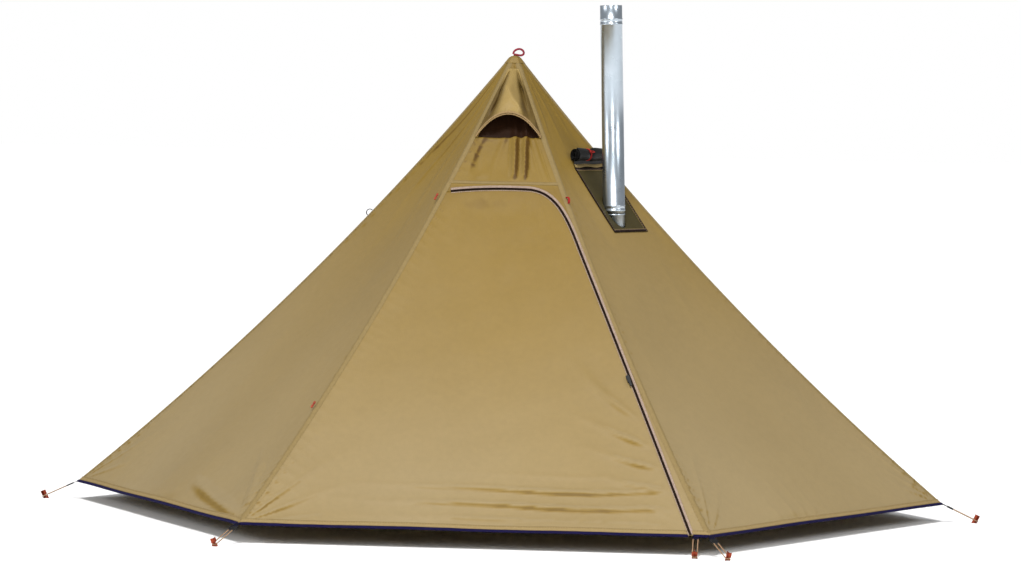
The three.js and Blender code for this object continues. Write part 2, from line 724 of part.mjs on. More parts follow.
function addGuyLoops() {
  const shape = new THREE.Shape();
  shape.absarc(0, 0, GUY_LOOP.outer, -Math.PI / 2, Math.PI / 2, false);
  shape.absarc(0, 0, GUY_LOOP.inner, Math.PI / 2, -Math.PI / 2, true);
  const corners = { front_left: 3, front_right: -1, back_right: 1, back_left: 2 };
  for (const [name, k] of Object.entries(corners)) {
    const height = name === "front_left" ? GUY_LOOP_FRONT_LEFT_Z : GUY_LOOP.z;
    const frame = frameOf(ridgeMatrix(k * STEP, height));
    const options = { depth: GUY_LOOP.width, bevelEnabled: false, curveSegments: 8 };
    const loop = new THREE.ExtrudeGeometry(shape, options);
    loop.rotateX(Math.PI / 2).translate(TRIM_TOP + 1.4, GUY_LOOP.width / 2, 0);
    place(`guy_loop_${name}`, loop, material(COLORS.webbing, 0.7), frame);
  }
}

function addToggles() {
  for (const [name, z] of Object.entries(TOGGLE_Z)) {
    const frame = frameOf(ridgeMatrix(-2 * STEP, z));
    const barrel = lathe([[0, -14], [3, -14], [4.5, -9], [3, 0], [4.5, 9], [3, 14], [0, 14]], 12);
    barrel.translate(7, -13, 0);
    place(`door_toggle_${name}`, barrel, material(COLORS.red, 0.5), frame);
  }
}

addPanels();
addRidgeTapes();
addDoor();
addHem();
addVent();
addJack();
addFlue();
addApex();
addPole();
addCorners();
addGuyLoops();
addToggles();

export default group;
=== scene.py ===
import contextlib
import math

import bmesh
import bpy
import numpy as np
from mathutils import Matrix, Vector


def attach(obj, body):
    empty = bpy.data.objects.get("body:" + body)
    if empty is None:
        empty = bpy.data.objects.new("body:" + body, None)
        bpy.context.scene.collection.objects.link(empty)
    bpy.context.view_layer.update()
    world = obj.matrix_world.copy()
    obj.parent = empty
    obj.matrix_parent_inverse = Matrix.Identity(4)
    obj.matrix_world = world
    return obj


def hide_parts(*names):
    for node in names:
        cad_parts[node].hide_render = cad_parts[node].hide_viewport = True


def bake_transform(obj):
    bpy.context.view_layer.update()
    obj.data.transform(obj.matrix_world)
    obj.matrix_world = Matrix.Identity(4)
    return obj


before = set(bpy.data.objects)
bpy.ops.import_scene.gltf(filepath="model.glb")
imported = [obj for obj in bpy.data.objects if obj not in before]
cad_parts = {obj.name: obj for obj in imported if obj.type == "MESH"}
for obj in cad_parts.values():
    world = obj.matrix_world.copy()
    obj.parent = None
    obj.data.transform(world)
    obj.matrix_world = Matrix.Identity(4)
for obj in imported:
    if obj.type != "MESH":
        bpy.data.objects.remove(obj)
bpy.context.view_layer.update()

# ---- sizes, in metres ----

SIDES = 6
STEP = math.pi / 3
COS30 = math.cos(STEP / 2)
HEM_RADIUS = 1.6
HEM_Z = 0.07
APEX_Z = 1.67
TOP_RADIUS = 0.022
RIDGE_SAG = 0.055
RUN = HEM_RADIUS - TOP_RADIUS
FALL = APEX_Z - HEM_Z
FACE_NORMAL = np.array([FALL, RUN * COS30]) / math.hypot(FALL, RUN * COS30)
OUTWARD = np.array([0, -FACE_NORMAL[0], FACE_NORMAL[1]])  # square to the front face
UPHILL = np.array([0, FACE_NORMAL[1], FACE_NORMAL[0]])
CLOTH = 0.0009
PROUD = 0.0012  # trim stands this far off the cloth

ZIP_START = (-0.192, 1.186)
ZIP_CREST = (-0.06, 1.202)
ZIP_SHOULDER = (0.088, 1.197)
ZIP_BEND = ((0.178, 1.192), (0.226, 1.122))
ZIP_CORNER_END = (0.286, 0.991)
ZIP_FOOT = (0.735, 0.07)
COIL_PITCH = 0.0026

VENT_SEAM_Z = 1.22
NET_LOW, NET_HIGH = 1.372, 1.604
VENT = {"bottom": 1.383, "top": 1.595, "bottom_half": 0.112, "top_half": 0.022}
HOOD_TOP = (0.019, 1.634)
HOOD_END = (0.122, 1.384)
HOOD_RISE = 0.088
HOOD_BULGE = 0.062

JACK = {"left": -0.052, "right": 0.166, "bottom": 1.048, "top": 1.276}
JACK_MARGIN = 0.01
FLAP_LENGTH = 0.34
FLAP_TURNS = 3.4
FLAP = {"left": -0.05, "right": 0.148, "seam": 1.284, "radius": 0.026, "tie": 0.03}
FLUE_AT = Vector((0.388, -0.194, 1.117))
FLUE_LEAN = math.radians(-2)
FLUE_RADIUS = 0.04
FLUE_JOINT = -0.004
FLUE_TOP = 0.752
FLUE_FOOT = -0.6
PIPE_WALL = 0.001

TAB_LENGTH = 0.024
BUCKLE_LENGTH = 0.024
CORD_RADIUS = 0.002
CORD_TURN = 0.0082
PEG_OUT = 0.142
BASE_PEG_OUT = 0.1
PEG_NECK_Z = 0.01

CAP_RADIUS = 0.038
CAP_PROFILE = ([0, 0.006, 0.0145, 0.022, 0.038], [1.6815, 1.6812, 1.6785, 1.6738, 1.6542])

CAMERA_ANGLES = (4.57, -2.69, 1.1)  # degrees: round from the front, up, and roll
CAMERA_AWAY = 16
CAMERA_Z = 1.578

rng = np.random.default_rng(7)

# ---- camera, floor and light ----


def link(name, data):
    made = bpy.data.objects.new(name, data)
    bpy.context.scene.collection.objects.link(made)
    return made


def add_camera():
    azimuth, pitch, roll = (math.radians(a) for a in CAMERA_ANGLES)
    forward = Vector((-math.sin(azimuth) * math.cos(pitch), math.cos(azimuth) * math.cos(pitch), math.sin(pitch)))
    right = Vector((math.cos(azimuth), math.sin(azimuth), 0))
    up = right.cross(forward)
    side = right * math.cos(roll) + up * math.sin(roll)
    top = up * math.cos(roll) - right * math.sin(roll)
    data = bpy.data.cameras.new("camera")
    data.lens = 152.99
    data.sensor_width = 36
    camera = link("camera", data)
    basis = Matrix((side, top, -forward)).transposed().to_4x4()
    at = (CAMERA_AWAY * math.sin(azimuth), -CAMERA_AWAY * math.cos(azimuth), CAMERA_Z)
    camera.matrix_world = Matrix.Translation(at) @ basis
    bpy.context.scene.camera = camera


def add_light(name, kind, at, aim, energy, color=(1, 1, 1), **values):
    data = bpy.data.lights.new(name, kind)
    data.energy = energy
    data.color = color
    for key, value in values.items():
        setattr(data, key, value)
    light = link(name, data)
    light.location = at
    light.rotation_euler = (Vector(aim) - Vector(at)).to_track_quat("-Z", "Y").to_euler()


def add_world():
    """A soft grey surround that lights the tent, seen as a white backdrop."""
    world = bpy.data.worlds.new("studio")
    bpy.context.scene.world = world
    world.use_nodes = True
    tree = world.node_tree
    surround = tree.nodes["Background"]
    backdrop = tree.nodes.new("ShaderNodeBackground")
    for node, color, strength in ((surround, (0.95, 0.97, 1, 1), 0.4), (backdrop, (1, 1, 1, 1), 1.0)):
        node.inputs["Color"].default_value = color
        node.inputs["Strength"].default_value = strength
    seen = tree.nodes.new("ShaderNodeLightPath")
    mix = tree.nodes.new("ShaderNodeMixShader")
    tree.links.new(seen.outputs["Is Camera Ray"], mix.inputs[0])
    tree.links.new(surround.outputs[0], mix.inputs[1])
    tree.links.new(backdrop.outputs[0], mix.inputs[2])
    tree.links.new(mix.outputs[0], tree.nodes["World Output"].inputs["Surface"])


def add_studio():
    add_world()
    add_light("key", "SUN", (-0.6, -6, 11), (0, 0, 0.6), 2.75, (1, 0.985, 0.97), angle=math.radians(12))
    add_light("side", "AREA", (5.5, -3.5, 3.5), (0, 0, 0.7), 115, shape="DISK", size=2.2)
    add_light("fill", "AREA", (-6, -3.5, 3.0), (0, 0, 0.7), 125, shape="DISK", size=2.2)
    add_light("strip", "AREA", (0.55, -5, 2.4), (0.36, -0.2, 1.5), 70, shape="RECTANGLE", size=0.3, size_y=3)
    bpy.context.scene.view_settings.view_transform = "Standard"
    LOOKS["floor"] = Nodes("floor", 1.0, Base_Color=(0.99, 0.99, 0.99, 1)).material
    corners = [(-80, -80, 0), (80, -80, 0), (80, 80, 0), (-80, 80, 0)]
    new_object("floor", corners, [(0, 1, 2, 3)], "floor", smooth=False)


# ---- materials ----


class Nodes:
    """A material's node tree, with short calls for what the looks share."""

    def __init__(self, name, rough, metal=0.0, **constants):
        self.material = bpy.data.materials.new(name)
        self.material.use_nodes = True
        self.tree = self.material.node_tree
        self.shader = self.tree.nodes["Principled BSDF"]
        self.shader.inputs["Roughness"].default_value = rough
        self.shader.inputs["Metallic"].default_value = metal
        for socket, value in constants.items():
            self.shader.inputs[socket.replace("_", " ")].default_value = value
        self.place = self.tree.nodes.new("ShaderNodeTexCoord")

    def node(self, kind, links=(), **values):
        made = self.tree.nodes.new("ShaderNode" + kind)
        for key, value in values.items():
            setattr(made, key, value)
        for socket, source in dict(links).items():
            if isinstance(source, bpy.types.NodeSocket):
                self.tree.links.new(source, made.inputs[socket])
            else:
                made.inputs[socket].default_value = source
        return made

    def noise(self, scale, detail=3.0, coords="Object"):
        links = {"Vector": self.place.outputs[coords], "Scale": scale, "Detail": detail}
        return self.node("TexNoise", links).outputs["Fac"]

    def ramp(self, value, low, high, start=0.3, end=0.7):
        made = self.node("ValToRGB", {"Fac": value})
        for stop, color, at in zip(made.color_ramp.elements, (low, high), (start, end)):
            stop.color = (*color, 1)
            stop.position = at
        return made.outputs["Color"]

    def scaled(self, color, value, low, high, start=0.3, end=0.7):
        """color times a tint, or a grey, that runs from low to high with value."""
        low, high = (c if isinstance(c, tuple) else (c,) * 3 for c in (low, high))
        links = {"Factor": 1, "A": color, "B": self.ramp(value, low, high, start, end)}
        return self.node("Mix", links, data_type="RGBA", blend_type="MULTIPLY").outputs["Result"]

    def wave(self, scale, direction, coords="UV"):
        links = {"Vector": self.place.outputs[coords], "Scale": scale}
        return self.node("TexWave", links, bands_direction=direction).outputs["Fac"]

    def math(self, operation, a, b):
        return self.node("Math", {0: a, 1: b}, operation=operation).outputs[0]

    def finish(self, color, height, distance, strength=1.0, rough=None):
        self.tree.links.new(color, self.shader.inputs["Base Color"])
        bump = self.node("Bump", {"Height": height, "Strength": strength, "Distance": distance})
        self.tree.links.new(bump.outputs["Normal"], self.shader.inputs["Normal"])
        if rough is not None:
            low, high = rough
            spread = self.node("MapRange", {"Value": self.noise(30), "To Min": low, "To Max": high})
            self.tree.links.new(spread.outputs["Result"], self.shader.inputs["Roughness"])
        return self.material


def cloth_look(name, low, high, thread=0.0008, grid=0.006, gloss=0.2, tone_and_shade=False):
    """Woven ripstop: colour that drifts over the cloth, threads, and a raised grid; with the per-point attribute on,
    the painted shade and light that it carries too.
    """
    made = Nodes(name, 0.5, Specular_IOR_Level=gloss)
    if tone_and_shade:
        attribute = made.node("Attribute", attribute_name="tone_and_shade").outputs["Fac"]
        color = made.scaled(made.ramp(attribute, low, high, 0.35, 1.0), made.noise(2.4, 5), 0.97, 1.03)
        # painted shade: where the per-point attribute falls below 0.35, as on the shaded side of a fold, the colour is
        # multiplied down towards a deep brown
        color = made.scaled(color, attribute, (0.4, 0.31, 0.16), (1.0, 1.0, 1.0), 0.0, 0.35)
    else:
        color = made.ramp(made.noise(2.4, 5), low, high)
    color = made.scaled(color, made.noise(45, 3), 0.975, 1.025)
    threads = made.math("ADD", made.wave(0.314 / thread, "X"), made.wave(0.314 / thread, "Y"))
    ribs = made.math("MAXIMUM", made.wave(0.314 / grid, "X"), made.wave(0.314 / grid, "Y"))
    height = made.math("ADD", made.math("MULTIPLY", threads, 0.25), made.math("POWER", ribs, 14))
    return made.finish(color, height, 0.00022, 0.5, (0.44, 0.56))


def ribbed_look(name, low, high, pitch, rough=0.6):
    """Webbing, tape or braided cord: ribs across the strip, with colour that runs from dark in each groove to light on
    the crests, patchy along it.
    """
    made = Nodes(name, rough, Specular_IOR_Level=0.06)
    ribs = made.wave(0.314 / pitch, "Y")
    color = made.ramp(made.math("MULTIPLY", ribs, made.noise(90)), low, high, 0.15, 0.6)
    return made.finish(color, ribs, 0.0003)


def moulded_look(name, low, high, rough=0.42):
    """Moulded plastic with a fine spark-eroded grain."""
    made = Nodes(name, rough, Specular_IOR_Level=0.3)
    return made.finish(made.ramp(made.noise(60), low, high), made.noise(1800, 2), 0.00006, 0.6, (rough, rough + 0.15))


def metal_look(name, low, high, rough, brushed=700):
    """Rolled or drawn metal: fine lines, faint smears, brighter and duller patches."""
    made = Nodes(name, rough, 1.0)
    color = made.ramp(made.noise(9, 4), low, high)
    lines = made.wave(brushed, "Z", "Object")
    return made.finish(color, made.math("ADD", lines, made.noise(25)), 0.00004, 0.15, (rough, rough + 0.16))


LOOKS = {}


def make_looks():
    """Every look, by the short name that new_object takes."""
    # The canopy and hood run from their low colour to their high along a per-point attribute that carries painted
    # shade and light as well as their own colour; the hood's much darker low is for the painted shade on its sides.
    dyed = (
        ("canopy", "canopy_fabric", (0.18, 0.112, 0.017), (0.243, 0.182, 0.088)),
        ("hood", "hood_fabric", (0.105, 0.066, 0.014), (0.285, 0.198, 0.066)),
    )
    for key, *look in dyed:
        LOOKS[key] = cloth_look(*look, tone_and_shade=True)
    ribbed = (
        ("seam", "seam_tape", (0.19, 0.136, 0.056), (0.24, 0.176, 0.076), 0.0032),
        ("binding", "binding", (0.004, 0.003, 0.024), (0.01, 0.007, 0.056), 0.0016),
        ("hem_band", "hem_band", (0.225, 0.16, 0.068), (0.285, 0.21, 0.1), 0.003),
        ("brim", "brim_binding", (0.24, 0.155, 0.065), (0.34, 0.235, 0.12), 0.003),
        ("zip_tape", "zip_tape", (0.25, 0.18, 0.14), (0.4, 0.31, 0.25), 0.0012),
        ("zip_edge", "zip_edge", (0.008, 0.0045, 0.003), (0.022, 0.012, 0.008), 0.0012, 0.8),
        ("zip_coil", "zip_coil", (0.01, 0.005, 0.0035), (0.026, 0.014, 0.01), 0.0026, 0.7),
        ("webbing", "webbing", (0.003, 0.003, 0.01), (0.01, 0.009, 0.03), 0.0018),
        ("cord", "anchor_cord", (0.2, 0.115, 0.062), (0.43, 0.3, 0.185), 0.002, 0.7),
        ("red_cord", "red_cord", (0.26, 0.018, 0.016), (0.5, 0.045, 0.035), 0.0014, 0.6),
        ("apex_cord", "apex_cord", (0.16, 0.014, 0.026), (0.34, 0.045, 0.065), 0.0016, 0.6),
    )
    for key, *look in ribbed:
        LOOKS[key] = ribbed_look(*look)
    woven = (
        ("jack", "jack_fabric", (0.02, 0.015, 0.004), (0.048, 0.037, 0.01), 0.0011, 0.009, 0.15),
        ("flap", "flap_fabric", (0.003, 0.003, 0.003), (0.012, 0.011, 0.01), 0.001, 0.007, 0.2),
        # the vent mesh is an opaque sheet, so its colour is partly the net's own near-black and partly painted shade:
        # the dark brown of the tent's shaded inside, seen through the net
        ("mesh", "mesh", (0.005, 0.002, 0.001), (0.022, 0.009, 0.004), 0.0012, 0.003, 0.05),
    )
    for key, *look in woven:
        LOOKS[key] = cloth_look(*look)
    moulded = (
        ("plastic", "black_plastic", (0.003, 0.003, 0.003), (0.008, 0.008, 0.009)),
        ("red_plastic", "red_plastic", (0.18, 0.02, 0.01), (0.3, 0.045, 0.018)),
        ("zip_metal", "zip_metal", (0.004, 0.004, 0.004), (0.01, 0.01, 0.01), 0.5),
    )
    for key, *look in moulded:
        LOOKS[key] = moulded_look(*look)
    metal = (
        ("peg", "peg_metal", (0.24, 0.04, 0.02), (0.4, 0.09, 0.045), 0.34, 300),
        ("steel", "stainless", (0.4, 0.46, 0.51), (0.5, 0.56, 0.62), 0.22),
        ("alloy", "pole_alloy", (0.52, 0.54, 0.56), (0.68, 0.7, 0.72), 0.28),
    )
    for key, *look in metal:
        LOOKS[key] = metal_look(*look)


# ---- meshes ----


def new_object(name, points, faces, look, uv=None, tone_and_shade=None, smooth=True):
    mesh = bpy.data.meshes.new(name)
    mesh.from_pydata([tuple(p) for p in points], [], [tuple(f) for f in faces])
    if uv is not None:
        layer = mesh.uv_layers.new(name="cloth")
        corners = np.zeros(len(mesh.loops), np.int32)
        mesh.loops.foreach_get("vertex_index", corners)
        layer.data.foreach_set("uv", np.asarray(uv, np.float32)[corners].ravel())
    if tone_and_shade is not None:
        mesh.attributes.new("tone_and_shade", "FLOAT", "POINT").data.foreach_set("value", np.asarray(tone_and_shade, np.float32))
    mesh.materials.append(LOOKS[look])
    mesh.polygons.foreach_set("use_smooth", [smooth] * len(mesh.polygons))
    return link(name, mesh)


def grid_faces(rows, columns, start=0, closed=False, keep=None):
    faces = []
    for i in range(rows - 1):
        for j in range(columns if closed else columns - 1):
            if keep is None or keep(i, j):
                a, b = start + i * columns + j, start + i * columns + (j + 1) % columns
                faces.append((a, b, b + columns, a + columns))
    return faces


def grid_object(name, grid, look, uv=None, closed=False, tone_and_shade=None):
    rows, columns = grid.shape[:2]
    flat_uv = None if uv is None else uv.reshape(-1, 2)
    return new_object(name, grid.reshape(-1, 3), grid_faces(rows, columns, closed=closed), look, flat_uv, tone_and_shade)


def stand_in(made, nodes, slot, body=None, **sheet):
    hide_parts(*nodes.split())
    if body:
        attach(made, body)


@contextlib.contextmanager
def editing(made):
    """The piece's mesh as a bmesh, written back afterwards."""
    work = bmesh.new()
    work.from_mesh(made.data)
    yield work
    work.to_mesh(made.data)
    work.free()


def stacked(*parts):
    """Points or UVs from their separate coordinates."""
    return np.stack(np.broadcast_arrays(*parts), -1)


def sheet_uv(across, down):
    """UV, in metres, of a grid with these places across and down it."""
    return stacked(across, down[:, None])


def aside_of(line):
    """Unit steps to the left of a line of points."""
    ahead = np.gradient(line, axis=0)
    ahead /= np.linalg.norm(ahead, axis=1)[:, None]
    return stacked(-ahead[:, 1], ahead[:, 0])


def thicken(made, thickness=CLOTH, offset=-1.0):
    """Gives a sheet its cloth thickness; the faces that were there stay where they are."""
    solid = made.modifiers.new("cloth", "SOLIDIFY")
    solid.thickness = thickness
    solid.offset = offset
    bpy.context.view_layer.update()
    mesh = bpy.data.meshes.new_from_object(made.evaluated_get(bpy.context.evaluated_depsgraph_get()))
    made.modifiers.clear()
    made.data = mesh
    return made


def face_out(made, centre=(0, 0, 0.5)):
    """Turns every face of an open sheet away from the tent's middle."""
    with editing(made) as work:
        for face in work.faces:
            if face.normal.dot(face.calc_center_median() - Vector(centre)) < 0:
                face.normal_flip()
    return made


def join(name, made):
    """Several pieces as one object, which keeps their materials."""
    bpy.ops.object.select_all(action="DESELECT")
    for piece in made:
        piece.select_set(True)
    bpy.context.view_layer.objects.active = made[0]
    bpy.ops.object.join()
    made[0].name = name
    return made[0]


def along(path):
    """Distance along a path at each of its points."""
    return np.concatenate([[0], np.cumsum(np.linalg.norm(np.diff(path, axis=0), axis=1))])


def sweep(name, path, radius, look, sides=12, flat=1.0):
    """A round tube along a path, with closed ends. flat squeezes it one way."""
    path = np.asarray(path, float)
    radius = np.broadcast_to(radius, len(path))
    tangent = np.gradient(path, axis=0)
    tangent /= np.linalg.norm(tangent, axis=1)[:, None]
    guide = np.array((0.13, 0.21, 0.97))
    turns = np.linspace(0, 2 * math.pi, sides, endpoint=False)
    circle = np.cos(turns)[:, None], flat * np.sin(turns)[:, None]
    rings = []
    for point, direction, r in zip(path, tangent, radius):
        across = np.cross(direction, guide)
        across /= np.linalg.norm(across)
        guide = np.cross(across, direction)
        rings.append(point + r * (circle[0] * across + circle[1] * guide))
    points = np.concatenate(rings)
    uv = sheet_uv(turns * np.mean(radius), along(path)).reshape(-1, 2)
    faces = grid_faces(len(path), sides, closed=True)
    faces += [tuple(reversed(range(sides))), tuple(range(len(points) - sides, len(points)))]
    return new_object(name, points, faces, look, uv)


def turned(name, profile, look, matrix=Matrix(), segments=96):
    """A lathe round Z, from a closed profile of (radius, z)."""
    profile = np.asarray(profile, float)
    turns = np.linspace(0, 2 * math.pi, segments, endpoint=False)
    radius, z = profile.T[..., None]
    grid = stacked(radius * np.cos(turns), radius * np.sin(turns), z)
    made = grid_object(name, grid, look, sheet_uv(turns * 0.02, along(profile)), closed=True)
    with editing(made) as work:
        bmesh.ops.remove_doubles(work, verts=work.verts, dist=1e-6)
        bmesh.ops.recalc_face_normals(work, faces=work.faces)
    made.data.transform(matrix)
    return made


def smooth(a, b, value):
    t = np.clip((value - a) / (b - a), 0, 1)
    return t * t * (3 - 2 * t)


# ---- the canopy's surface ----

_v = np.linspace(-0.05, 1.05, 1200)
_out = -4 * RIDGE_SAG * _v * (1 - _v)
_slope = np.array([FALL, RUN]) / math.hypot(FALL, RUN)
_r = TOP_RADIUS + RUN * _v + _out * _slope[0]
_z = APEX_Z - FALL * _v + _out * _slope[1]


def ridge_radius(z):
    return np.interp(z, _z[::-1], _r[::-1])


def half_width(z):
    return ridge_radius(z) / 2


def turn(points, k):
    c, s = math.cos(k * STEP), math.sin(k * STEP)
    return points @ np.array([[c, s, 0], [-s, c, 0], [0, 0, 1]])


def bezier(points, count):
    t = np.linspace(0, 1, count)[:, None]
    p = [np.asarray(q, float) for q in points]
    while len(p) > 1:
        p = [(1 - t) * a + t * b for a, b in zip(p[:-1], p[1:])]
    return p[0]


def evenly(path, step):
    length = along(path)
    at = np.linspace(0, length[-1], max(2, int(length[-1] / step)))
    return np.stack([np.interp(at, length, path[:, i]) for i in range(path.shape[1])], -1)


def zip_line(step=0.005):
    top = bezier((ZIP_START, ZIP_CREST, ZIP_SHOULDER), 60)
    corner = bezier((ZIP_SHOULDER, *ZIP_BEND, ZIP_CORNER_END), 60)
    leg = np.linspace(ZIP_CORNER_END, ZIP_FOOT, 60)
    return evenly(np.concatenate([top, corner[1:], leg[1:]]), step)


ZIP = zip_line()
_waves = rng.normal(size=(SIDES, 14, 2))
_phases = rng.uniform(0, 2 * math.pi, size=(SIDES, 14))


def drift(x, z, size, seed):
    """Smooth noise between about -1 and 1, over features of that size."""
    total = np.zeros(np.broadcast(x, z).shape)
    for (a, b), phase in zip(_waves[seed % SIDES], _phases[seed % SIDES]):
        total = total + np.sin((a * x + b * z) * 2.2 / size + phase)
    return total / 4.2


def crease(value):
    """A narrow pinched fold at every half turn of value."""
    return np.exp(-(np.sin(value) / 0.46) ** 2) - 0.26


def fan(x, z, cx, cz, count, reach, depth, seed):
    """Tension folds that spread from an anchor and die out with distance."""
    away = np.hypot(x - cx, z - cz)
    angle = np.arctan2(z - cz, x - cx)
    angle = angle + 0.1 * drift(x, z, 0.35, seed)
    return depth * crease(angle * count + seed) * np.exp(-away / reach) * smooth(0.015, 0.1, away)


def line_fold(x, z, a, b, width, depth):
    """One long fold between two points, deepest a third of the way along and gone at its ends."""
    ahead = np.subtract(b, a)
    length = np.hypot(*ahead)
    t = ((x - a[0]) * ahead[0] + (z - a[1]) * ahead[1]) / length ** 2
    aside = ((z - a[1]) * ahead[0] - (x - a[0]) * ahead[1]) / length
    return depth * np.exp(-(aside / width) ** 2) * smooth(0, 0.15, t) * smooth(1, 0.45, t)


def zip_distance(x, z):
    """Distance to the zip's line, measured to each short stretch of it."""
    nearest = np.full(np.shape(x), 9.0)
    knots = ZIP[np.append(np.arange(0, len(ZIP) - 1, 6), -1)]
    for a, step in zip(knots[:-1], np.diff(knots, axis=0)):
        t = np.clip(((x - a[0]) * step[0] + (z - a[1]) * step[1]) / step.dot(step), 0, 1)
        nearest = np.minimum(nearest, np.hypot(x - a[0] - t * step[0], z - a[1] - t * step[1]))
    return nearest


def box_distance(x, z, low, high):
    dx = np.maximum(np.maximum(low[0] - x, x - high[0]), 0)
    dz = np.maximum(np.maximum(low[1] - z, z - high[1]), 0)
    return np.hypot(dx, dz)


def door_folds(x, z):
    """Long folds above the door's hem, which steepen into slanting ones beside the zip's leg."""
    low = np.exp(-((x - 0.25) / 0.42) ** 2) * smooth(0.085, 0.12, z) * smooth(0.27, 0.17, z)
    folds = 0.0082 * low * crease((z + 0.03 * x) * 62 + 0.8 * drift(x, z, 0.3, 2))
    lean = 0.1 + 0.8 * smooth(0.1, 0.75, z)
    slant = x * np.sin(lean) + z * np.cos(lean)
    beside = np.exp(-(zip_distance(x, z) / 0.13) ** 2) * smooth(0.68, 0.52, z) * smooth(0.14, 0.2, z)
    return folds + 0.0105 * beside * crease(slant * 30 + 0.5 * drift(x, z, 0.4, 4))


def wrinkle(k, x, z):
    """How far the cloth of panel k stands off its smooth surface."""
    x, z = np.broadcast_arrays(np.asarray(x, float), np.asarray(z, float))
    half = half_width(z)
    edge = np.maximum(half - np.abs(x), 0)
    down = np.clip((APEX_Z - z) / FALL, 0, 1)
    belly = -0.012 * np.clip(1 - (x / half) ** 2, 0, 1) * np.sin(math.pi * np.clip(down, 0, 1))
    broad = 0.0065 * drift(x, z, 0.42, k) * smooth(0, 0.25, edge)
    fine = 0.0008 * drift(x, z, 0.085, k + 2)
    patchy = 0.65 + 0.35 * drift(x, z, 0.22, k + 1)
    anchors = (((-0.8, HEM_Z, 11, 0.15, 0.0125), 0), ((0.8, HEM_Z, 12, 0.14, 0.0125), 1),
               ((0, APEX_Z + 0.03, 14, 0.65, 0.005), 3))
    folds = patchy * sum(fan(x, z, *anchor, (k + seed) % SIDES) for anchor, seed in anchors)
    hem = 0.0028 * patchy * crease(x * 22 + 2.2 * drift(x, z, 0.4, k + 4)) * np.exp(-(z - HEM_Z) / 0.11)
    if k == 0:
        folds = folds + door_folds(x, z)
        under = smooth(1.222, 1.25, z) * smooth(1.58, 1.46, z)
        for at, width, depth in ((0.026, 0.013, 0.016), (0.064, 0.01, 0.015), (-0.1, 0.026, -0.004)):
            folds = folds + under * depth * np.exp(-((x - at + 0.05 * (z - 1.37)) / width) ** 2)
        pleats = crease(edge * 105 + 0.6 * np.sin(z * 9)) * smooth(1.02, 1.18, z) * (x > 0)
        folds = folds + 0.0075 * pleats * np.exp(-edge / 0.05)
    if k == 5:
        folds = folds + line_fold(x, z, (0.8, 0.074), (0.02, 0.175), 0.019, 0.016)
        folds = folds + line_fold(x, z, (0.78, 0.1), (0.4, 0.33), 0.016, 0.006)
    total = (belly + broad + fine + folds + hem) * smooth(0, 0.045, edge)
    seam = crease(z * 82 - np.abs(x) * 34 + 1.5 * drift(x, z, 0.2, k + 5)) * smooth(0.002, 0.012, edge)
    strength = 0.0024 + 0.007 * np.exp(-((z - 0.15) / 0.13) ** 2)
    total = total + strength * seam * patchy * np.exp(-edge / 0.05) * smooth(1.5, 1.2, z)
    total = total * (0.3 + 0.7 * smooth(HEM_Z + 0.004, HEM_Z + 0.045, z))
    if k == 0:
        near = zip_distance(x, z)
        total = total * smooth(0.004, 0.09, near)
        total = total + 0.0008 * crease((x + z) * 46) * np.exp(-near / 0.03) * smooth(0.006, 0.014, near)
        bottom, top, half, _ = VENT.values()
        vent = box_distance(x, z, (-half, bottom + 0.012), (half, top))
        total = total * (0.55 + 0.45 * smooth(0, 0.03, vent))
    if k == 1:
        gap = box_distance(x, z, (JACK["left"], JACK["bottom"]), (JACK["right"], JACK["top"] + 0.05))
        total = total * (0.12 + 0.88 * smooth(0, 0.08, gap))
    return total


def on_panel(k, x, z, off=0.0):
    """Points on panel k, off metres out from its cloth."""
    x, z = np.broadcast_arrays(np.asarray(x, float), np.asarray(z, float))
    out = wrinkle(k, x, z) + off
    flat = np.stack([x, -ridge_radius(z) * COS30 - out * FACE_NORMAL[0], z + out * FACE_NORMAL[1]], -1)
    return turn(flat, k)


def cloth_uv(x, z):
    return stacked(x, z / FACE_NORMAL[0])


# ---- canopy ----


class Patchwork:
    """Grids of cloth that share edges, gathered into one sheet."""

    def __init__(self):
        self.points, self.faces, self.uv, self.tone_and_shade = [], [], [], []

    def add(self, k, x, z, keep=None):
        x, z = np.broadcast_arrays(x, z)
        self.faces += grid_faces(*x.shape, sum(len(p) for p in self.points), keep=keep)
        self.points.append(on_panel(k, x, z).reshape(-1, 3))
        self.uv.append((cloth_uv(x, z) + (3.7 * k, 0)).reshape(-1, 2))
        self.tone_and_shade.append(tone_and_shade(k, x, z).ravel())

    def make(self, name):
        made = new_object(name, np.concatenate(self.points), self.faces, "canopy",
                          np.concatenate(self.uv), np.concatenate(self.tone_and_shade))
        with editing(made) as work:
            bmesh.ops.remove_doubles(work, verts=work.verts, dist=2e-5)
        return thicken(face_out(made))


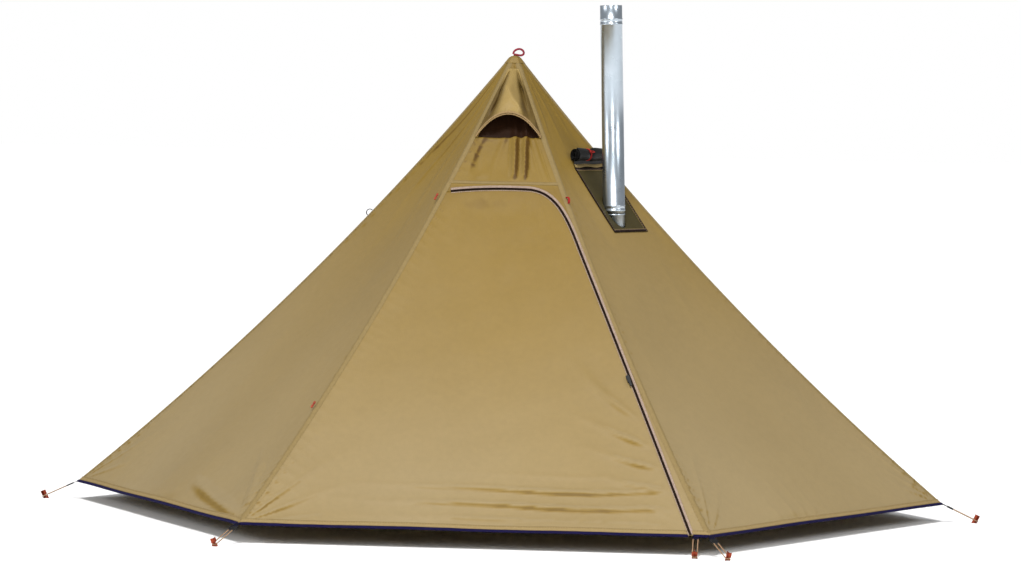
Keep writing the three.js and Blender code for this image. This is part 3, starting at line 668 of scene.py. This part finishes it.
def tone_and_shade(k, x, z):
    """Paler towards the hem and deeper near the top, a little darker along each ridge, where the cloth is doubled.
    Painted shade darkens the front panel and the side of each fold that faces down or to the right; painted light
    brightens the side that faces up or to the left.
    """
    shade = 0.96 - 0.6 * np.clip((z - 0.1) / 1.25, 0, 1) ** 1.5 + 0.06 * drift(x, z, 0.5, k + 1)
    shade = shade - 0.08 * np.exp(-np.maximum(half_width(z) - np.abs(x), 0) / 0.012)
    # painted shade: the front panel is darkened, most of all from 0.15 m up to the vent seam, to offset the key light
    # that falls fullest on it
    if k == 0:
        shade = shade - 0.08 - 0.12 * smooth(0.15, 0.7, z) * smooth(1.22, 1.2, z)
    # painted shade and light from each fold's slope: the cloth is darker where it faces down or to the right and
    # lighter where it faces up or to the left, past a small dead zone
    step = 0.003
    here = wrinkle(k, x, z)
    under = (wrinkle(k, x, z + step) - here) / step
    beside = (here - wrinkle(k, x + step, z)) / step
    painted_fold_shading = 2.1 * under + 1.1 * beside
    painted_fold_shading = np.sign(painted_fold_shading) * np.maximum(np.abs(painted_fold_shading) - 0.34, 0)
    shade = shade - np.clip(painted_fold_shading, -0.14, 0.66)
    return np.clip(shade, 0, 1)


def columns(breaks, counts):
    """Column positions of every row: breaks are the x of each dividing line, one array a row."""
    parts = [breaks[i][:, None] + (breaks[i + 1] - breaks[i])[:, None] * np.linspace(0, 1, n + 1)[:-1]
             for i, n in enumerate(counts)]
    return np.concatenate([*parts, breaks[-1][:, None]], 1)


def spread(count):
    """Column positions from -1 to 1, closer together towards both ends."""
    u = np.linspace(-1, 1, count)
    return 0.45 * u + 0.55 * np.sin(math.pi / 2 * u)


def add_plain_panel(patch, k):
    z = np.concatenate([np.linspace(HEM_Z, 0.34, 46, endpoint=False), np.linspace(0.34, APEX_Z, 110)])
    patch.add(k, half_width(z)[:, None] * spread(181), z[:, None])


def add_jack_panel(patch):
    left, right = JACK["left"] + JACK_MARGIN, JACK["right"] - JACK_MARGIN
    bottom, top = JACK["bottom"] + JACK_MARGIN, JACK["top"] - JACK_MARGIN
    below, beside = 130, 20
    low, mid, high = np.linspace(HEM_Z, bottom, below), np.linspace(bottom, top, beside), np.linspace(top, APEX_Z, 36)
    z = np.concatenate([low, mid[1:], high[1:]])
    half = half_width(z)
    ease = smooth(bottom - 0.45, bottom, z)
    above = half / half_width(top)
    first = np.where(z > top, left * above, (1 - ease) * -0.3 * half + ease * left)
    second = np.where(z > top, right * above, (1 - ease) * 0.42 * half + ease * right)
    counts = (84, 52, 72)
    x = columns([-half, first, second, half], counts)
    rows, inside = range(below - 1, below + beside - 2), range(counts[0], counts[0] + counts[1])
    patch.add(1, x, z[:, None], lambda i, j: not (i in rows and j in inside))


def zip_split():
    """Index in ZIP of the middle of its rounded corner."""
    middle = bezier((ZIP_SHOULDER, *ZIP_BEND, ZIP_CORNER_END), 3)[1]
    return int(np.argmin(np.hypot(*(ZIP - middle).T)))


def add_front_panel(patch):
    split = zip_split()
    upper, leg = ZIP[:split + 1], ZIP[split:]
    corner = upper[-1]
    lead = np.linspace((-half_width(ZIP_START[1]), ZIP_START[1]), ZIP_START, 3)
    tail = np.linspace(corner, (half_width(corner[1]), corner[1]), 24)
    base = np.concatenate([lead[:-1], upper, tail[1:]])
    share = along(base) / along(base)[-1]
    bottom, top, bottom_half, top_half = VENT.values()
    half = half_width(bottom)
    last = len(base) - 1
    first, second = 22, last - 28
    top_x = np.interp(np.arange(len(base)), [0, first, second, last], [-half, -bottom_half, bottom_half, half])
    t = np.linspace(0, 1, 36)[:, None]
    x = base[:, 0] * (1 - t) + top_x * t
    z = base[:, 1] * (1 - t) + bottom * t
    edge = half_width(z)
    x = np.where(share <= 0, -edge, np.where(share >= 1, edge, x))
    patch.add(0, x, z)
    above = np.concatenate([np.linspace(bottom, top, 36), np.linspace(top, APEX_Z, 12)[1:]])
    half = half_width(above)
    rise = np.clip((above - bottom) / (top - bottom), 0, 1)
    inner = bottom_half + (top_half - bottom_half) * rise
    inner = np.where(above > top, half * top_half / half_width(top), inner)
    x = columns([-half, -inner, inner, half], (first, second - first, last - second))
    patch.add(0, x, above[:, None], lambda i, j: not (i < 35 and first <= j < second))
    t = np.linspace(0, 1, 24)
    x, z = leg.T[..., None]
    patch.add(0, x * (1 - t) + half_width(z) * t, z)


def add_canopy():
    patch = Patchwork()
    add_front_panel(patch)
    add_jack_panel(patch)
    for k in (2, 3, 4, 5):
        add_plain_panel(patch, k)
    made = patch.make("canopy")
    nodes = "front_panel panel_front_right panel_back_right panel_back panel_back_left panel_front_left"
    stand_in(made, nodes, "canopy_fabric", "tent", flat=(4.5, 3.54), held="stretched", rests_on=["pole_tip"], area=8.9)


def door_bend(made):
    """Bakes the piece's placement into its mesh. It works out the line of the ridge beside the swinging door, but
    bends nothing.
    """
    ridge_low = np.array([-HEM_RADIUS / 2, -HEM_RADIUS * COS30, HEM_Z])
    r = float(ridge_radius(ZIP_START[1]))
    ridge_high = np.array([-r / 2, -r * COS30, ZIP_START[1]])
    up = ridge_high - ridge_low
    up /= np.linalg.norm(up)
    across = np.cross(up, OUTWARD)
    across *= np.sign(across[0]) / np.linalg.norm(across)
    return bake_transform(made)


def door_grid(columns_count=250, rows=210):
    """The door's four sides blended into a grid: hem, zip top, ridge and the zip's long leg."""
    split = zip_split()
    s = np.linspace(0, 1, columns_count) ** 1.25
    t = np.linspace(0, 1, rows)
    top = evenly(np.concatenate([[(-half_width(ZIP_START[1]), ZIP_START[1])], ZIP[:split + 1]]), 0.002)
    top = np.stack([np.interp(s, np.linspace(0, 1, len(top)), top[:, i]) for i in (0, 1)], -1)
    bottom = stacked(-HEM_RADIUS / 2 + s * (ZIP_FOOT[0] + HEM_RADIUS / 2), HEM_Z)
    side = evenly(ZIP[split:][::-1], 0.002)
    right = np.stack([np.interp(t, np.linspace(0, 1, len(side)), side[:, i]) for i in (0, 1)], -1)
    heights = HEM_Z + t * (ZIP_START[1] - HEM_Z)
    left = stacked(-half_width(heights), heights)
    S, T = s[:, None], t[:, None, None]
    ruled = (1 - T) * bottom + T * top + (1 - S) * left[:, None] + S * right[:, None]
    corners = (1 - S) * (1 - T) * bottom[0] + S * (1 - T) * bottom[-1] + (1 - S) * T * top[0] + S * T * top[-1]
    return ruled - corners


def add_door():
    grid = door_grid()
    x, z = grid[..., 0], grid[..., 1]
    made = new_object("door", on_panel(0, x, z).reshape(-1, 3), grid_faces(*x.shape), "canopy",
                      cloth_uv(x, z).reshape(-1, 2), tone_and_shade(0, x, z).ravel())
    thicken(face_out(made))
    stand_in(made, "door_panel", "canopy_fabric", flat=(1.54, 1.49), held="stretched", rests_on=["canopy"], area=1.44)
    door_bend(made)


# ---- seams, hem and zip ----


def strip(name, k, line, from_side, to_side, off, look, across=5, crown=0.0):
    """A ribbon on panel k beside a line of (x, z) points, from one sideways distance to another."""
    t = np.linspace(0, 1, across)
    places = line[:, None] + aside_of(line)[:, None] * (from_side + (to_side - from_side) * t)[:, None]
    rise = off + crown * np.sin(math.pi * t)
    points = on_panel(k, places[..., 0], places[..., 1], rise)
    return grid_object(name, points, look, sheet_uv(t * abs(to_side - from_side), along(line)))


def ridge_strip(k):
    """The lapped seam down the ridge between panel k and the next one."""
    z = np.linspace(HEM_Z, APEX_Z - 0.004, 330)
    half = half_width(z)
    widths = (0.013, 0.0085, 0.0045, 0.0)
    lifts = (0.0003, 0.0016, 0.0014, 0.002)
    left = [on_panel(k, half - np.minimum(w, half * 0.6), z, a) for w, a in zip(widths, lifts)]
    right = [on_panel(k + 1, -half + np.minimum(w, half * 0.6), z, a) for w, a in zip(widths[:-1], lifts[:-1])]
    grid = np.stack(left + right[::-1], 1)
    return grid_object("ridge_seam", grid, "seam", sheet_uv(np.linspace(0, 0.026, 7), z))


def stitches(name, k, line, aside, off, look="seam", pitch=0.009, size=0.0007):
    """A row of raised stitches beside a line on panel k."""
    spots = evenly(line + aside_of(line) * aside, pitch / 2)
    a, b = spots[:-1:2][:len(spots[1::2])], spots[1::2]
    step = b - a
    side = np.stack([-step[:, 1], step[:, 0]], -1) / np.linalg.norm(step, axis=1)[:, None] * size
    flat = [a - side, a + side, b + side, b - side, a + step * 0.25, a + step * 0.75]
    lifts = (off, off, off, off, off + size, off + size)
    points = np.stack([on_panel(k, p[:, 0], p[:, 1], lift) for p, lift in zip(flat, lifts)], 1)
    shape = ((0, 1, 4), (3, 0, 4, 5), (2, 3, 5), (1, 2, 5, 4))
    faces = [tuple(6 * i + j for j in face) for i in range(len(a)) for face in shape]
    return new_object(name, points.reshape(-1, 3), faces, look)


def add_ridge_seams():
    made = [ridge_strip(k) for k in range(SIDES)]
    z = np.linspace(HEM_Z + 0.02, APEX_Z - 0.12, 400)
    for k in range(SIDES):
        for aside in (0.005, 0.011):
            for panel, side in ((k, 1), ((k + 1) % SIDES, -1)):
                line = stacked(side * half_width(z), z)
                made.append(stitches("ridge_stitches", panel, line, side * aside, 0.0013))
    half = float(half_width(VENT_SEAM_Z))
    line = np.linspace((-half, VENT_SEAM_Z), (half, VENT_SEAM_Z), 90)
    made.append(thicken(strip("vent_seam", 0, line, -0.005, 0.005, 0.0006, "seam", crown=0.0004), 0.0006))
    made += [stitches("vent_stitches", 0, line, aside, 0.0013) for aside in (-0.0032, 0.0032)]
    stand_in(join("ridge_seams", made), "ridge_tapes", "canopy_fabric", "tent")


def hem_strip(k, left, right, count, look, top, bottom, off):
    """A band along the hem of panel k between two heights above or below its edge."""
    x = np.linspace(left, right, count)
    t = np.linspace(0, 1, 6)
    z = HEM_Z + top + (bottom - top) * t
    width = half_width(z) / half_width(HEM_Z)
    grid_x = x[:, None] * width
    lifts = off + 0.001 * np.sin(math.pi * t)
    grid = on_panel(k, grid_x, z, lifts)
    return grid_object("hem", grid, look, sheet_uv(t * abs(top - bottom), x))


def hem_pieces(k, left, right, count):
    """The turned-up hem with its stitching, and the dark binding along its edge."""
    line = np.linspace((left, HEM_Z + 0.012), (right, HEM_Z + 0.012), count)
    return [
        thicken(hem_strip(k, left, right, count, "hem_band", 0.015, 0.002, 0.0013), 0.0008),
        thicken(hem_strip(k, left, right, count, "binding", 0.0008, -0.0062, 0.0017), 0.003, 0.0),
        stitches("hem_stitches", k, line, 0.0, 0.0025),
    ]


def panel_matrix(angle, start, out):
    pitch = math.asin((HEM_Z - PEG_NECK_Z) / out)
    return Matrix.Translation(start) @ Matrix.Rotation(angle, 4, "Z") @ Matrix.Rotation(pitch, 4, "Y")


def corner_matrix(angle):
    start = Vector((HEM_RADIUS * math.cos(angle), HEM_RADIUS * math.sin(angle), HEM_Z))
    return panel_matrix(angle, start, PEG_OUT)


def base_matrix():
    x = ZIP_FOOT[0] + 0.018
    start = Vector((x, -float(ridge_radius(HEM_Z)) * COS30, HEM_Z))
    return panel_matrix(-math.pi / 2, start, BASE_PEG_OUT)


def webbing_tab(name, matrix, length, width=0.02):
    """Two layers of webbing, folded round the buckle's bar."""
    turns = np.linspace(-math.pi / 2, math.pi / 2, 9)
    profile = [(0.001, -0.0012)] + [(length - 0.0015 + 0.0012 * math.cos(t), 0.0012 * math.sin(t)) for t in turns]
    profile = np.array(profile + [(0.001, 0.0012)])
    y = np.linspace(-width / 2, width / 2, 9)
    x, z = profile.T[..., None]
    grid = stacked(x, y, z)
    made = thicken(grid_object(name, grid, "webbing", sheet_uv(y, along(profile))), 0.0007)
    made.data.transform(matrix)
    return made


def add_hem():
    made = hem_pieces(0, ZIP_FOOT[0] + 0.01, HEM_RADIUS / 2, 16)
    for k in range(1, SIDES):
        made += hem_pieces(k, -HEM_RADIUS / 2, HEM_RADIUS / 2, 300)
    for k in range(SIDES):
        made.append(webbing_tab("corner_tab", corner_matrix((k - 2) * STEP), TAB_LENGTH))
    made.append(webbing_tab("base_tab", base_matrix(), 0.0196))
    stand_in(join("hem", made), "hem_binding", "binding", "tent")
    door = join("door_hem", hem_pieces(0, -HEM_RADIUS / 2 + 0.002, ZIP_FOOT[0] - 0.01, 290))
    stand_in(door, "door_hem_binding", "binding")
    door_bend(door)


def coil_half(name, side):
    """Half of the zip's coil: a ribbed bead along the edge of its tape."""
    line = evenly(ZIP, COIL_PITCH / 4)
    beside = line + aside_of(line) * side * 0.0015
    path = on_panel(0, beside[:, 0], beside[:, 1], PROUD + 0.0012)
    radius = 0.0013 + 0.0004 * np.cos(along(line) / COIL_PITCH * 2 * math.pi)
    return sweep(name, path, radius, "zip_coil", 6)


def add_zip():
    for name, side, reach, node in (("zip_door", -1, 0.007, "zip_tape_door"),
                                    ("zip_canopy", 1, 0.012, "zip_tape_canopy")):
        made = []
        for start, end, look in ((0.0006, 0.004, "zip_edge"), (0.0036, reach, "zip_tape")):
            tape = strip(name, 0, ZIP, start * side, end * side, PROUD * 0.8, look, crown=0.0003)
            made.append(thicken(tape, 0.0006))
        made.append(stitches(name + "_stitches", 0, ZIP, (reach - 0.0015) * side, PROUD + 0.0002, "seam", 0.008))
        piece = join(name, [*made, coil_half(name + "_coil", side)])
        stand_in(piece, node, "zip_tape", "tent" if side > 0 else None)
        if side < 0:
            door_bend(piece)


# ---- corner anchors ----


def cord_path(start, peg):
    legs = np.linspace(start, peg, 14)[:-1]
    turns = np.linspace(0, math.pi, 15)
    bend = stacked(peg + CORD_TURN * np.sin(turns), CORD_TURN * np.cos(turns), 0)
    out = stacked(legs, CORD_TURN, 0)
    back = out[::-1] * (1, -1, 1)
    return np.concatenate([out, bend, back])


def add_cord(name, matrix, start, peg):
    path = [matrix @ Vector(p) for p in cord_path(start, peg)]
    fine = evenly(np.array(path), 0.0012)
    twist = CORD_RADIUS * (0.96 + 0.04 * np.cos(along(fine) / 0.0024 * 2 * math.pi))
    made = sweep(name + "_braid", fine, twist, "cord", 10)
    stand_in(made, name, "cord", "tent")


def add_cords():
    start = TAB_LENGTH + 0.0014 + BUCKLE_LENGTH + 0.0004
    for k in range(SIDES):
        add_cord(f"corner_cord_{k + 1}", corner_matrix((k - 2) * STEP), start, PEG_OUT)
    add_cord("door_base_cord", base_matrix(), 0.02, BASE_PEG_OUT)


# ---- vent ----


def hood_grid(rows=70, across=101):
    s = np.linspace(-1, 1, across)
    crown = 1 - s ** 2
    end_z = HOOD_END[1] + HOOD_RISE * crown
    end_y = -ridge_radius(end_z) * COS30 - 0.0026 - HOOD_BULGE * crown
    top_y = -float(ridge_radius(HOOD_TOP[1])) * COS30 - 0.0028 - 0.002 * crown
    start = stacked(HOOD_TOP[0] * s, top_y, HOOD_TOP[1])
    end = stacked(HOOD_END[0] * s, end_y, end_z)
    t = np.linspace(0, 1, rows)[:, None, None]
    grid = start * (1 - t) + end * t
    t = t[..., 0]
    swell = np.sin(math.pi * np.clip(t * 1.02, 0, 1)) ** 0.8
    keel = 0.022 * np.exp(-(s / 0.4) ** 2) * swell
    valleys = -0.026 * np.exp(-((np.abs(s) - 0.58) / 0.13) ** 2) * swell
    pinch = 0.012 * crease(s * 2.6 + 2.2 * t + 0.4) * smooth(0.05, 0.35, t) * smooth(1.05, 0.6, t)
    cross = 0.012 * crease(s * 2.2 - 3.4 * t + 1.9) * smooth(0.2, 0.5, t) * smooth(1.0, 0.75, t)
    crumple = cross + 0.0085 * drift(grid[..., 0], grid[..., 2], 0.045, 1) * smooth(0.1, 0.4, t)
    pucker = 0.0022 * crease(s * 22) * smooth(0.8, 1.0, t)
    free = smooth(0, 0.14, 1 - np.abs(s)) * smooth(0, 0.06, t)
    grid[..., 1] -= (keel + valleys + pinch + crumple + pucker) * free
    return grid


def add_vent():
    grid = hood_grid()
    s = np.linspace(-1, 1, grid.shape[1])
    uv = sheet_uv(s * 0.13, np.linspace(0, 0.27, grid.shape[0]))
    down = np.linspace(0, 1, grid.shape[0])[:, None]
    # painted shade: the hood's sides, which turn away to either side, are darkened towards the brim, and the cloth is
    # painted darker where it faces right and lighter where it faces left
    shade = 0.9 - 0.62 * smooth(0.22, 0.62, np.abs(s)) * smooth(0.05, 0.4, down)
    shade = shade - np.clip(np.gradient(grid[..., 1], axis=1) * 60, -0.15, 0.4)
    hood = grid_object("vent_hood_cloth", grid, "hood", uv, tone_and_shade=shade.ravel())
    middle = (0, 0, 1.45)
    thicken(face_out(hood, middle), 0.001)
    stand_in(hood, "vent_hood", "canopy_fabric", flat=(0.30, 0.27), held="stretched", rests_on=["canopy"], area=0.045)
    path = evenly(grid[-1, 1:-1] + (0, -0.0035, -0.0044), 0.003)
    rim = grid[-4:, 1:-1] + np.array([0, -0.0006, 0])
    rim_uv = sheet_uv(s[1:-1] * 0.13, np.linspace(0, 0.01, 4))[..., ::-1]
    rim = thicken(face_out(grid_object("vent_hood_hem", rim, "brim", rim_uv), middle), 0.0007, 1.0)
    for made in (hood, rim):
        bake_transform(made)
    stand_in(sweep("vent_brim_bound", path, 0.0028, "brim", 14, 0.8), "vent_brim", "binding", "vent_brim")
    add_vent_mesh()


def add_vent_mesh():
    z = np.linspace(NET_LOW, NET_HIGH, 50)[:, None]
    edge = half_width(z) - 0.006
    x = edge * np.linspace(-1, 1, 41)
    loose = np.sin(math.pi * (z - NET_LOW) / (NET_HIGH - NET_LOW))
    sag = -0.0024 - 0.006 * np.clip(1 - (x / edge) ** 2, 0, 1) * loose
    sag = sag + 0.004 * (crease(x * 34 + 0.8) - 0.76) * loose
    net = thicken(grid_object("vent_net", on_panel(0, x, z, sag), "mesh", cloth_uv(x, z)), 0.0008)
    stand_in(net, "vent_mesh", "mesh", "tent", flat=(0.25, 0.31), held="stretched", rests_on=["canopy"], area=0.050)


# ---- stove jack and flue ----


def flue_matrix():
    return Matrix.Translation(FLUE_AT) @ Matrix.Rotation(FLUE_LEAN, 4, "Y")


def add_jack():
    left, right, bottom, top = JACK.values()
    x, z = np.meshgrid(np.linspace(left, right, 90), np.linspace(bottom, top, 96))
    ripple = 0.0005 * drift(x, z, 0.05, 3)
    patch = grid_object("jack_patch", on_panel(1, x, z, 0.0009 + ripple), "jack", cloth_uv(x, z))
    cut_flue_hole(patch)
    thicken(patch, 0.001)
    stand_in(patch, "stove_jack_patch", "jack_fabric", "tent",
             flat=(0.218, 0.300), held="stretched", rests_on=["canopy"], area=0.056)
    corners = [(left, bottom), (right, bottom), (right, top), (left, top), (left, bottom)]
    sides = []
    for ends in zip(corners[:-1], corners[1:]):
        line = evenly(np.array(ends), 0.006)
        sides.append(thicken(strip("jack_side", 1, line, -0.0015, 0.0085, 0.0021, "zip_edge", crown=0.0009), 0.0007))
        sides.append(stitches("jack_stitches", 1, line, 0.0065, 0.0033, "zip_tape", 0.007))
        sides.append(strip("jack_piping", 1, line, 0.0085, 0.0105, 0.0016, "seam", crown=0.0006))
    seam = FLAP["seam"] - 0.0015
    line = np.linspace((FLAP["left"], seam), (FLAP["right"], seam), 60)
    line[:, 1] += 0.0022 * np.sin(line[:, 0] * 55)
    sides.append(thicken(strip("flap_lining", 1, line, -0.006, 0.006, 0.0046, "seam", crown=0.002), 0.0007))
    stand_in(join("jack_bound", sides), "stove_jack_binding", "binding", "tent")


def cut_flue_hole(patch):
    """Opens the patch round the pipe, with the cut's edge on a smooth ellipse."""
    inverse = flue_matrix().inverted()
    radius = FLUE_RADIUS + 0.0015
    axis = (flue_matrix().to_3x3() @ Vector((0, 0, 1))).normalized()
    normal = Vector(tuple(turn(OUTWARD, 1)))
    with editing(patch) as work:
        inside = [v for v in work.verts if math.hypot(*(inverse @ v.co).xy) < radius - 0.0012]
        bmesh.ops.delete(work, geom=inside, context="VERTS")
        for vertex in [v for v in work.verts if v.is_boundary]:
            place = inverse @ vertex.co
            far = math.hypot(place.x, place.y)
            if far < radius + 0.005:
                slide = flue_matrix() @ Vector((place.x * radius / far, place.y * radius / far, place.z))
                slide += axis * ((vertex.co - slide).dot(normal) / axis.dot(normal))
                vertex.co = slide


def add_flap():
    """The rolled jack cover and its tie, drawn on panel 0 and turned onto 1."""
    left, right, seam_z, size, tie_x = FLAP.values()
    normal, up = OUTWARD, UPHILL
    seam = np.array([0, -float(ridge_radius(seam_z)) * COS30, seam_z])
    centre = seam + normal * (size + 0.003) + up * (size + 0.002)
    x = np.linspace(left, right, 84)
    waist = 1 - 0.26 * np.exp(-((x - tie_x) / 0.013) ** 2)
    turns = np.linspace(0, 2 * math.pi * FLAP_TURNS, 190)
    grow = 0.005 + 0.0205 * turns / turns[-1]
    angle = turns - turns[-1] - math.radians(60)
    radius = grow[:, None] * waist
    radius = radius + 0.0014 * np.sin(angle[:, None] * 2 + x * 55) * waist
    ends = np.sign(x - 0.05) * smooth(0.06, 0.1, np.abs(x - 0.05))
    across = x + 0.004 * np.sin(turns * 0.6)[:, None] * ends
    ring = centre + radius[..., None] * (np.cos(angle)[:, None, None] * up - np.sin(angle)[:, None, None] * normal)
    ring[..., 0] = np.clip(across, left + 0.0005, right - 0.0005)
    tail = np.linspace(0, 1, 12)[1:, None, None]
    low = stacked(x, 0, 0) + centre - normal * (size + 0.0008) - up * (size + 0.001)
    hang = ring[-1] * (1 - tail) + low * tail
    grid = turn(np.concatenate([ring, hang]), 1)
    uv = sheet_uv(x, np.linspace(0, FLAP_LENGTH, len(grid)))
    roll = thicken(grid_object("flap_rolled", grid, "flap", uv), 0.001, 0.0)
    stand_in(roll, "stove_flap_roll", "flap_fabric", "stove_flap",
             flat=(0.198, 0.34), held="folded", rests_on=["jack_patch"])
    loops = []
    for aside in (-0.0022, 0.0022):
        around = np.linspace(0, 2 * math.pi, 60)
        ring = centre + 0.0212 * (np.cos(around)[:, None] * up + np.sin(around)[:, None] * normal)
        ring[:, 0] = tie_x + aside
        loops.append(sweep("tie_loop", turn(ring, 1), 0.0018, "red_cord", 8))
    front = centre + 0.0226 * normal
    for aside in (-1, 1):
        t = np.linspace(0, 1, 26)[:, None]
        bow = front + np.array([1, 0, 0]) * aside * 0.015 * np.sin(math.pi * t) - up * 0.014 * t * (1.6 - t)
        bow = bow + normal * 0.003 * np.sin(math.pi * t)
        bow[:, 0] += tie_x - front[0]
        loops.append(sweep("tie_end", turn(bow, 1), 0.0019, "red_cord", 8))
    stand_in(join("flap_tied", loops), "stove_flap_tie", "red_cord", "stove_flap")


def bead(z, radius, height=0.0015):
    t = np.linspace(0, math.pi, 7)
    return [(radius + height * math.sin(a), z - 0.0026 * math.cos(a)) for a in t]


def add_flue():
    """Two thin pipes: the upper slips over the lower one's end."""
    inner = FLUE_RADIUS - PIPE_WALL
    upper = [(inner, FLUE_JOINT), (FLUE_RADIUS, FLUE_JOINT)]
    for z in (FLUE_JOINT + 0.012, FLUE_JOINT + 0.028, FLUE_TOP - 0.068, FLUE_TOP - 0.05):
        upper += bead(z, FLUE_RADIUS)
    upper += [(FLUE_RADIUS, FLUE_TOP - 0.002), (FLUE_RADIUS - 0.0003, FLUE_TOP), (inner + 0.0002, FLUE_TOP)]
    upper += [(inner, FLUE_TOP - 0.001), (inner, FLUE_JOINT)]
    outer = inner - 0.0004
    inner, end = outer - PIPE_WALL, FLUE_JOINT + 0.052
    lower = [(inner, FLUE_FOOT), (outer, FLUE_FOOT), *bead(FLUE_FOOT + 0.04, outer), *bead(FLUE_JOINT - 0.003, outer)]
    lower += [(outer, end - 0.002), (outer - 0.0004, end), (inner, end), (inner, FLUE_FOOT)]
    for part, profile, body in (("upper", upper, "flue_top"), ("lower", lower, "flue")):
        pipe = turned("flue_pipe_" + part, profile, "steel", flue_matrix(), 128)
        stand_in(pipe, "flue_" + part, "stainless", body)


# ---- apex and the CAD's own solids ----


def add_apex():
    turns = np.linspace(0, 2 * math.pi, 97)[:-1]
    t = np.linspace(0, 1, 26)
    radius = CAP_RADIUS * t
    z = np.interp(radius, *CAP_PROFILE)
    corners = COS30 / np.cos(turns % STEP - STEP / 2)
    hexagon = 1 - (1 - corners) * smooth(0.1, 0.5, t)[:, None]
    hexagon = hexagon * radius[:, None]
    grid = stacked(hexagon * np.cos(turns), hexagon * np.sin(turns), z[:, None])
    cap = grid_object("apex_cover", grid, "canopy", sheet_uv(turns * 0.03, t * 0.06), closed=True,
                      tone_and_shade=np.full(grid[..., 0].size, 0.5))
    thicken(face_out(cap, (0, 0, 1.6)))
    stand_in(cap, "apex_cap", "canopy_fabric", "tent",
             flat=(0.086, 0.086), held="stretched", rests_on=["canopy"], area=0.0056)
    knots = [(-0.006, 1.6865), (-0.005, 1.695), (0.003, 1.703), (0.017, 1.707), (0.03, 1.701),
             (0.034, 1.689), (0.024, 1.681), (0.003, 1.685), (-0.005, 1.6855)]
    path = np.array([(x, 0, z) for x, z in knots])
    for _ in range(3):
        path = np.concatenate([[path[0]], *[[0.75 * a + 0.25 * b, 0.25 * a + 0.75 * b]
                                            for a, b in zip(path[:-1], path[1:])], [path[-1]]])
    loop = sweep("apex_hang_loop", evenly(path, 0.0012), 0.0038, "apex_cord", 12)
    stand_in(loop, "apex_loop", "red_cord", "tent")


def finish_cad():
    """Materials and softened edges for the CAD pieces whose shape is already right."""
    looks = {
        "plastic": "pole_foot pole_clamp pole_tip",
        "alloy": "pole_lower pole_upper",
        "zip_metal": "zip_slider zip_pull",
        "red_plastic": "door_toggle_upper door_toggle_lower",
        "webbing": "apex_pole_cup guy_loop_front_left guy_loop_back_right guy_loop_back_left",
        "red_cord": "guy_loop_front_right",
    }
    pairs = [(name, look) for look, names in looks.items() for name in names.split()]
    pairs += [(f"corner_buckle_{k + 1}", "plastic") for k in range(SIDES)]
    pairs += [(f"peg_{k + 1}", "peg") for k in range(SIDES + 1)]
    for name, look in pairs:
        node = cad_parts[name]
        node.data.materials.clear()
        node.data.materials.append(LOOKS[look])
        edges = node.modifiers.new("edges", "BEVEL")
        edges.width = 0.0004 if name.startswith(("peg", "zip", "guy")) else 0.0007
        edges.segments = 2
        edges.limit_method = "ANGLE"
        edges.angle_limit = math.radians(40)


add_camera()
make_looks()
add_cords()
add_studio()
add_canopy()
add_door()
add_ridge_seams()
add_hem()
add_zip()
add_vent()
add_jack()
add_flap()
add_flue()
add_apex()
finish_cad()
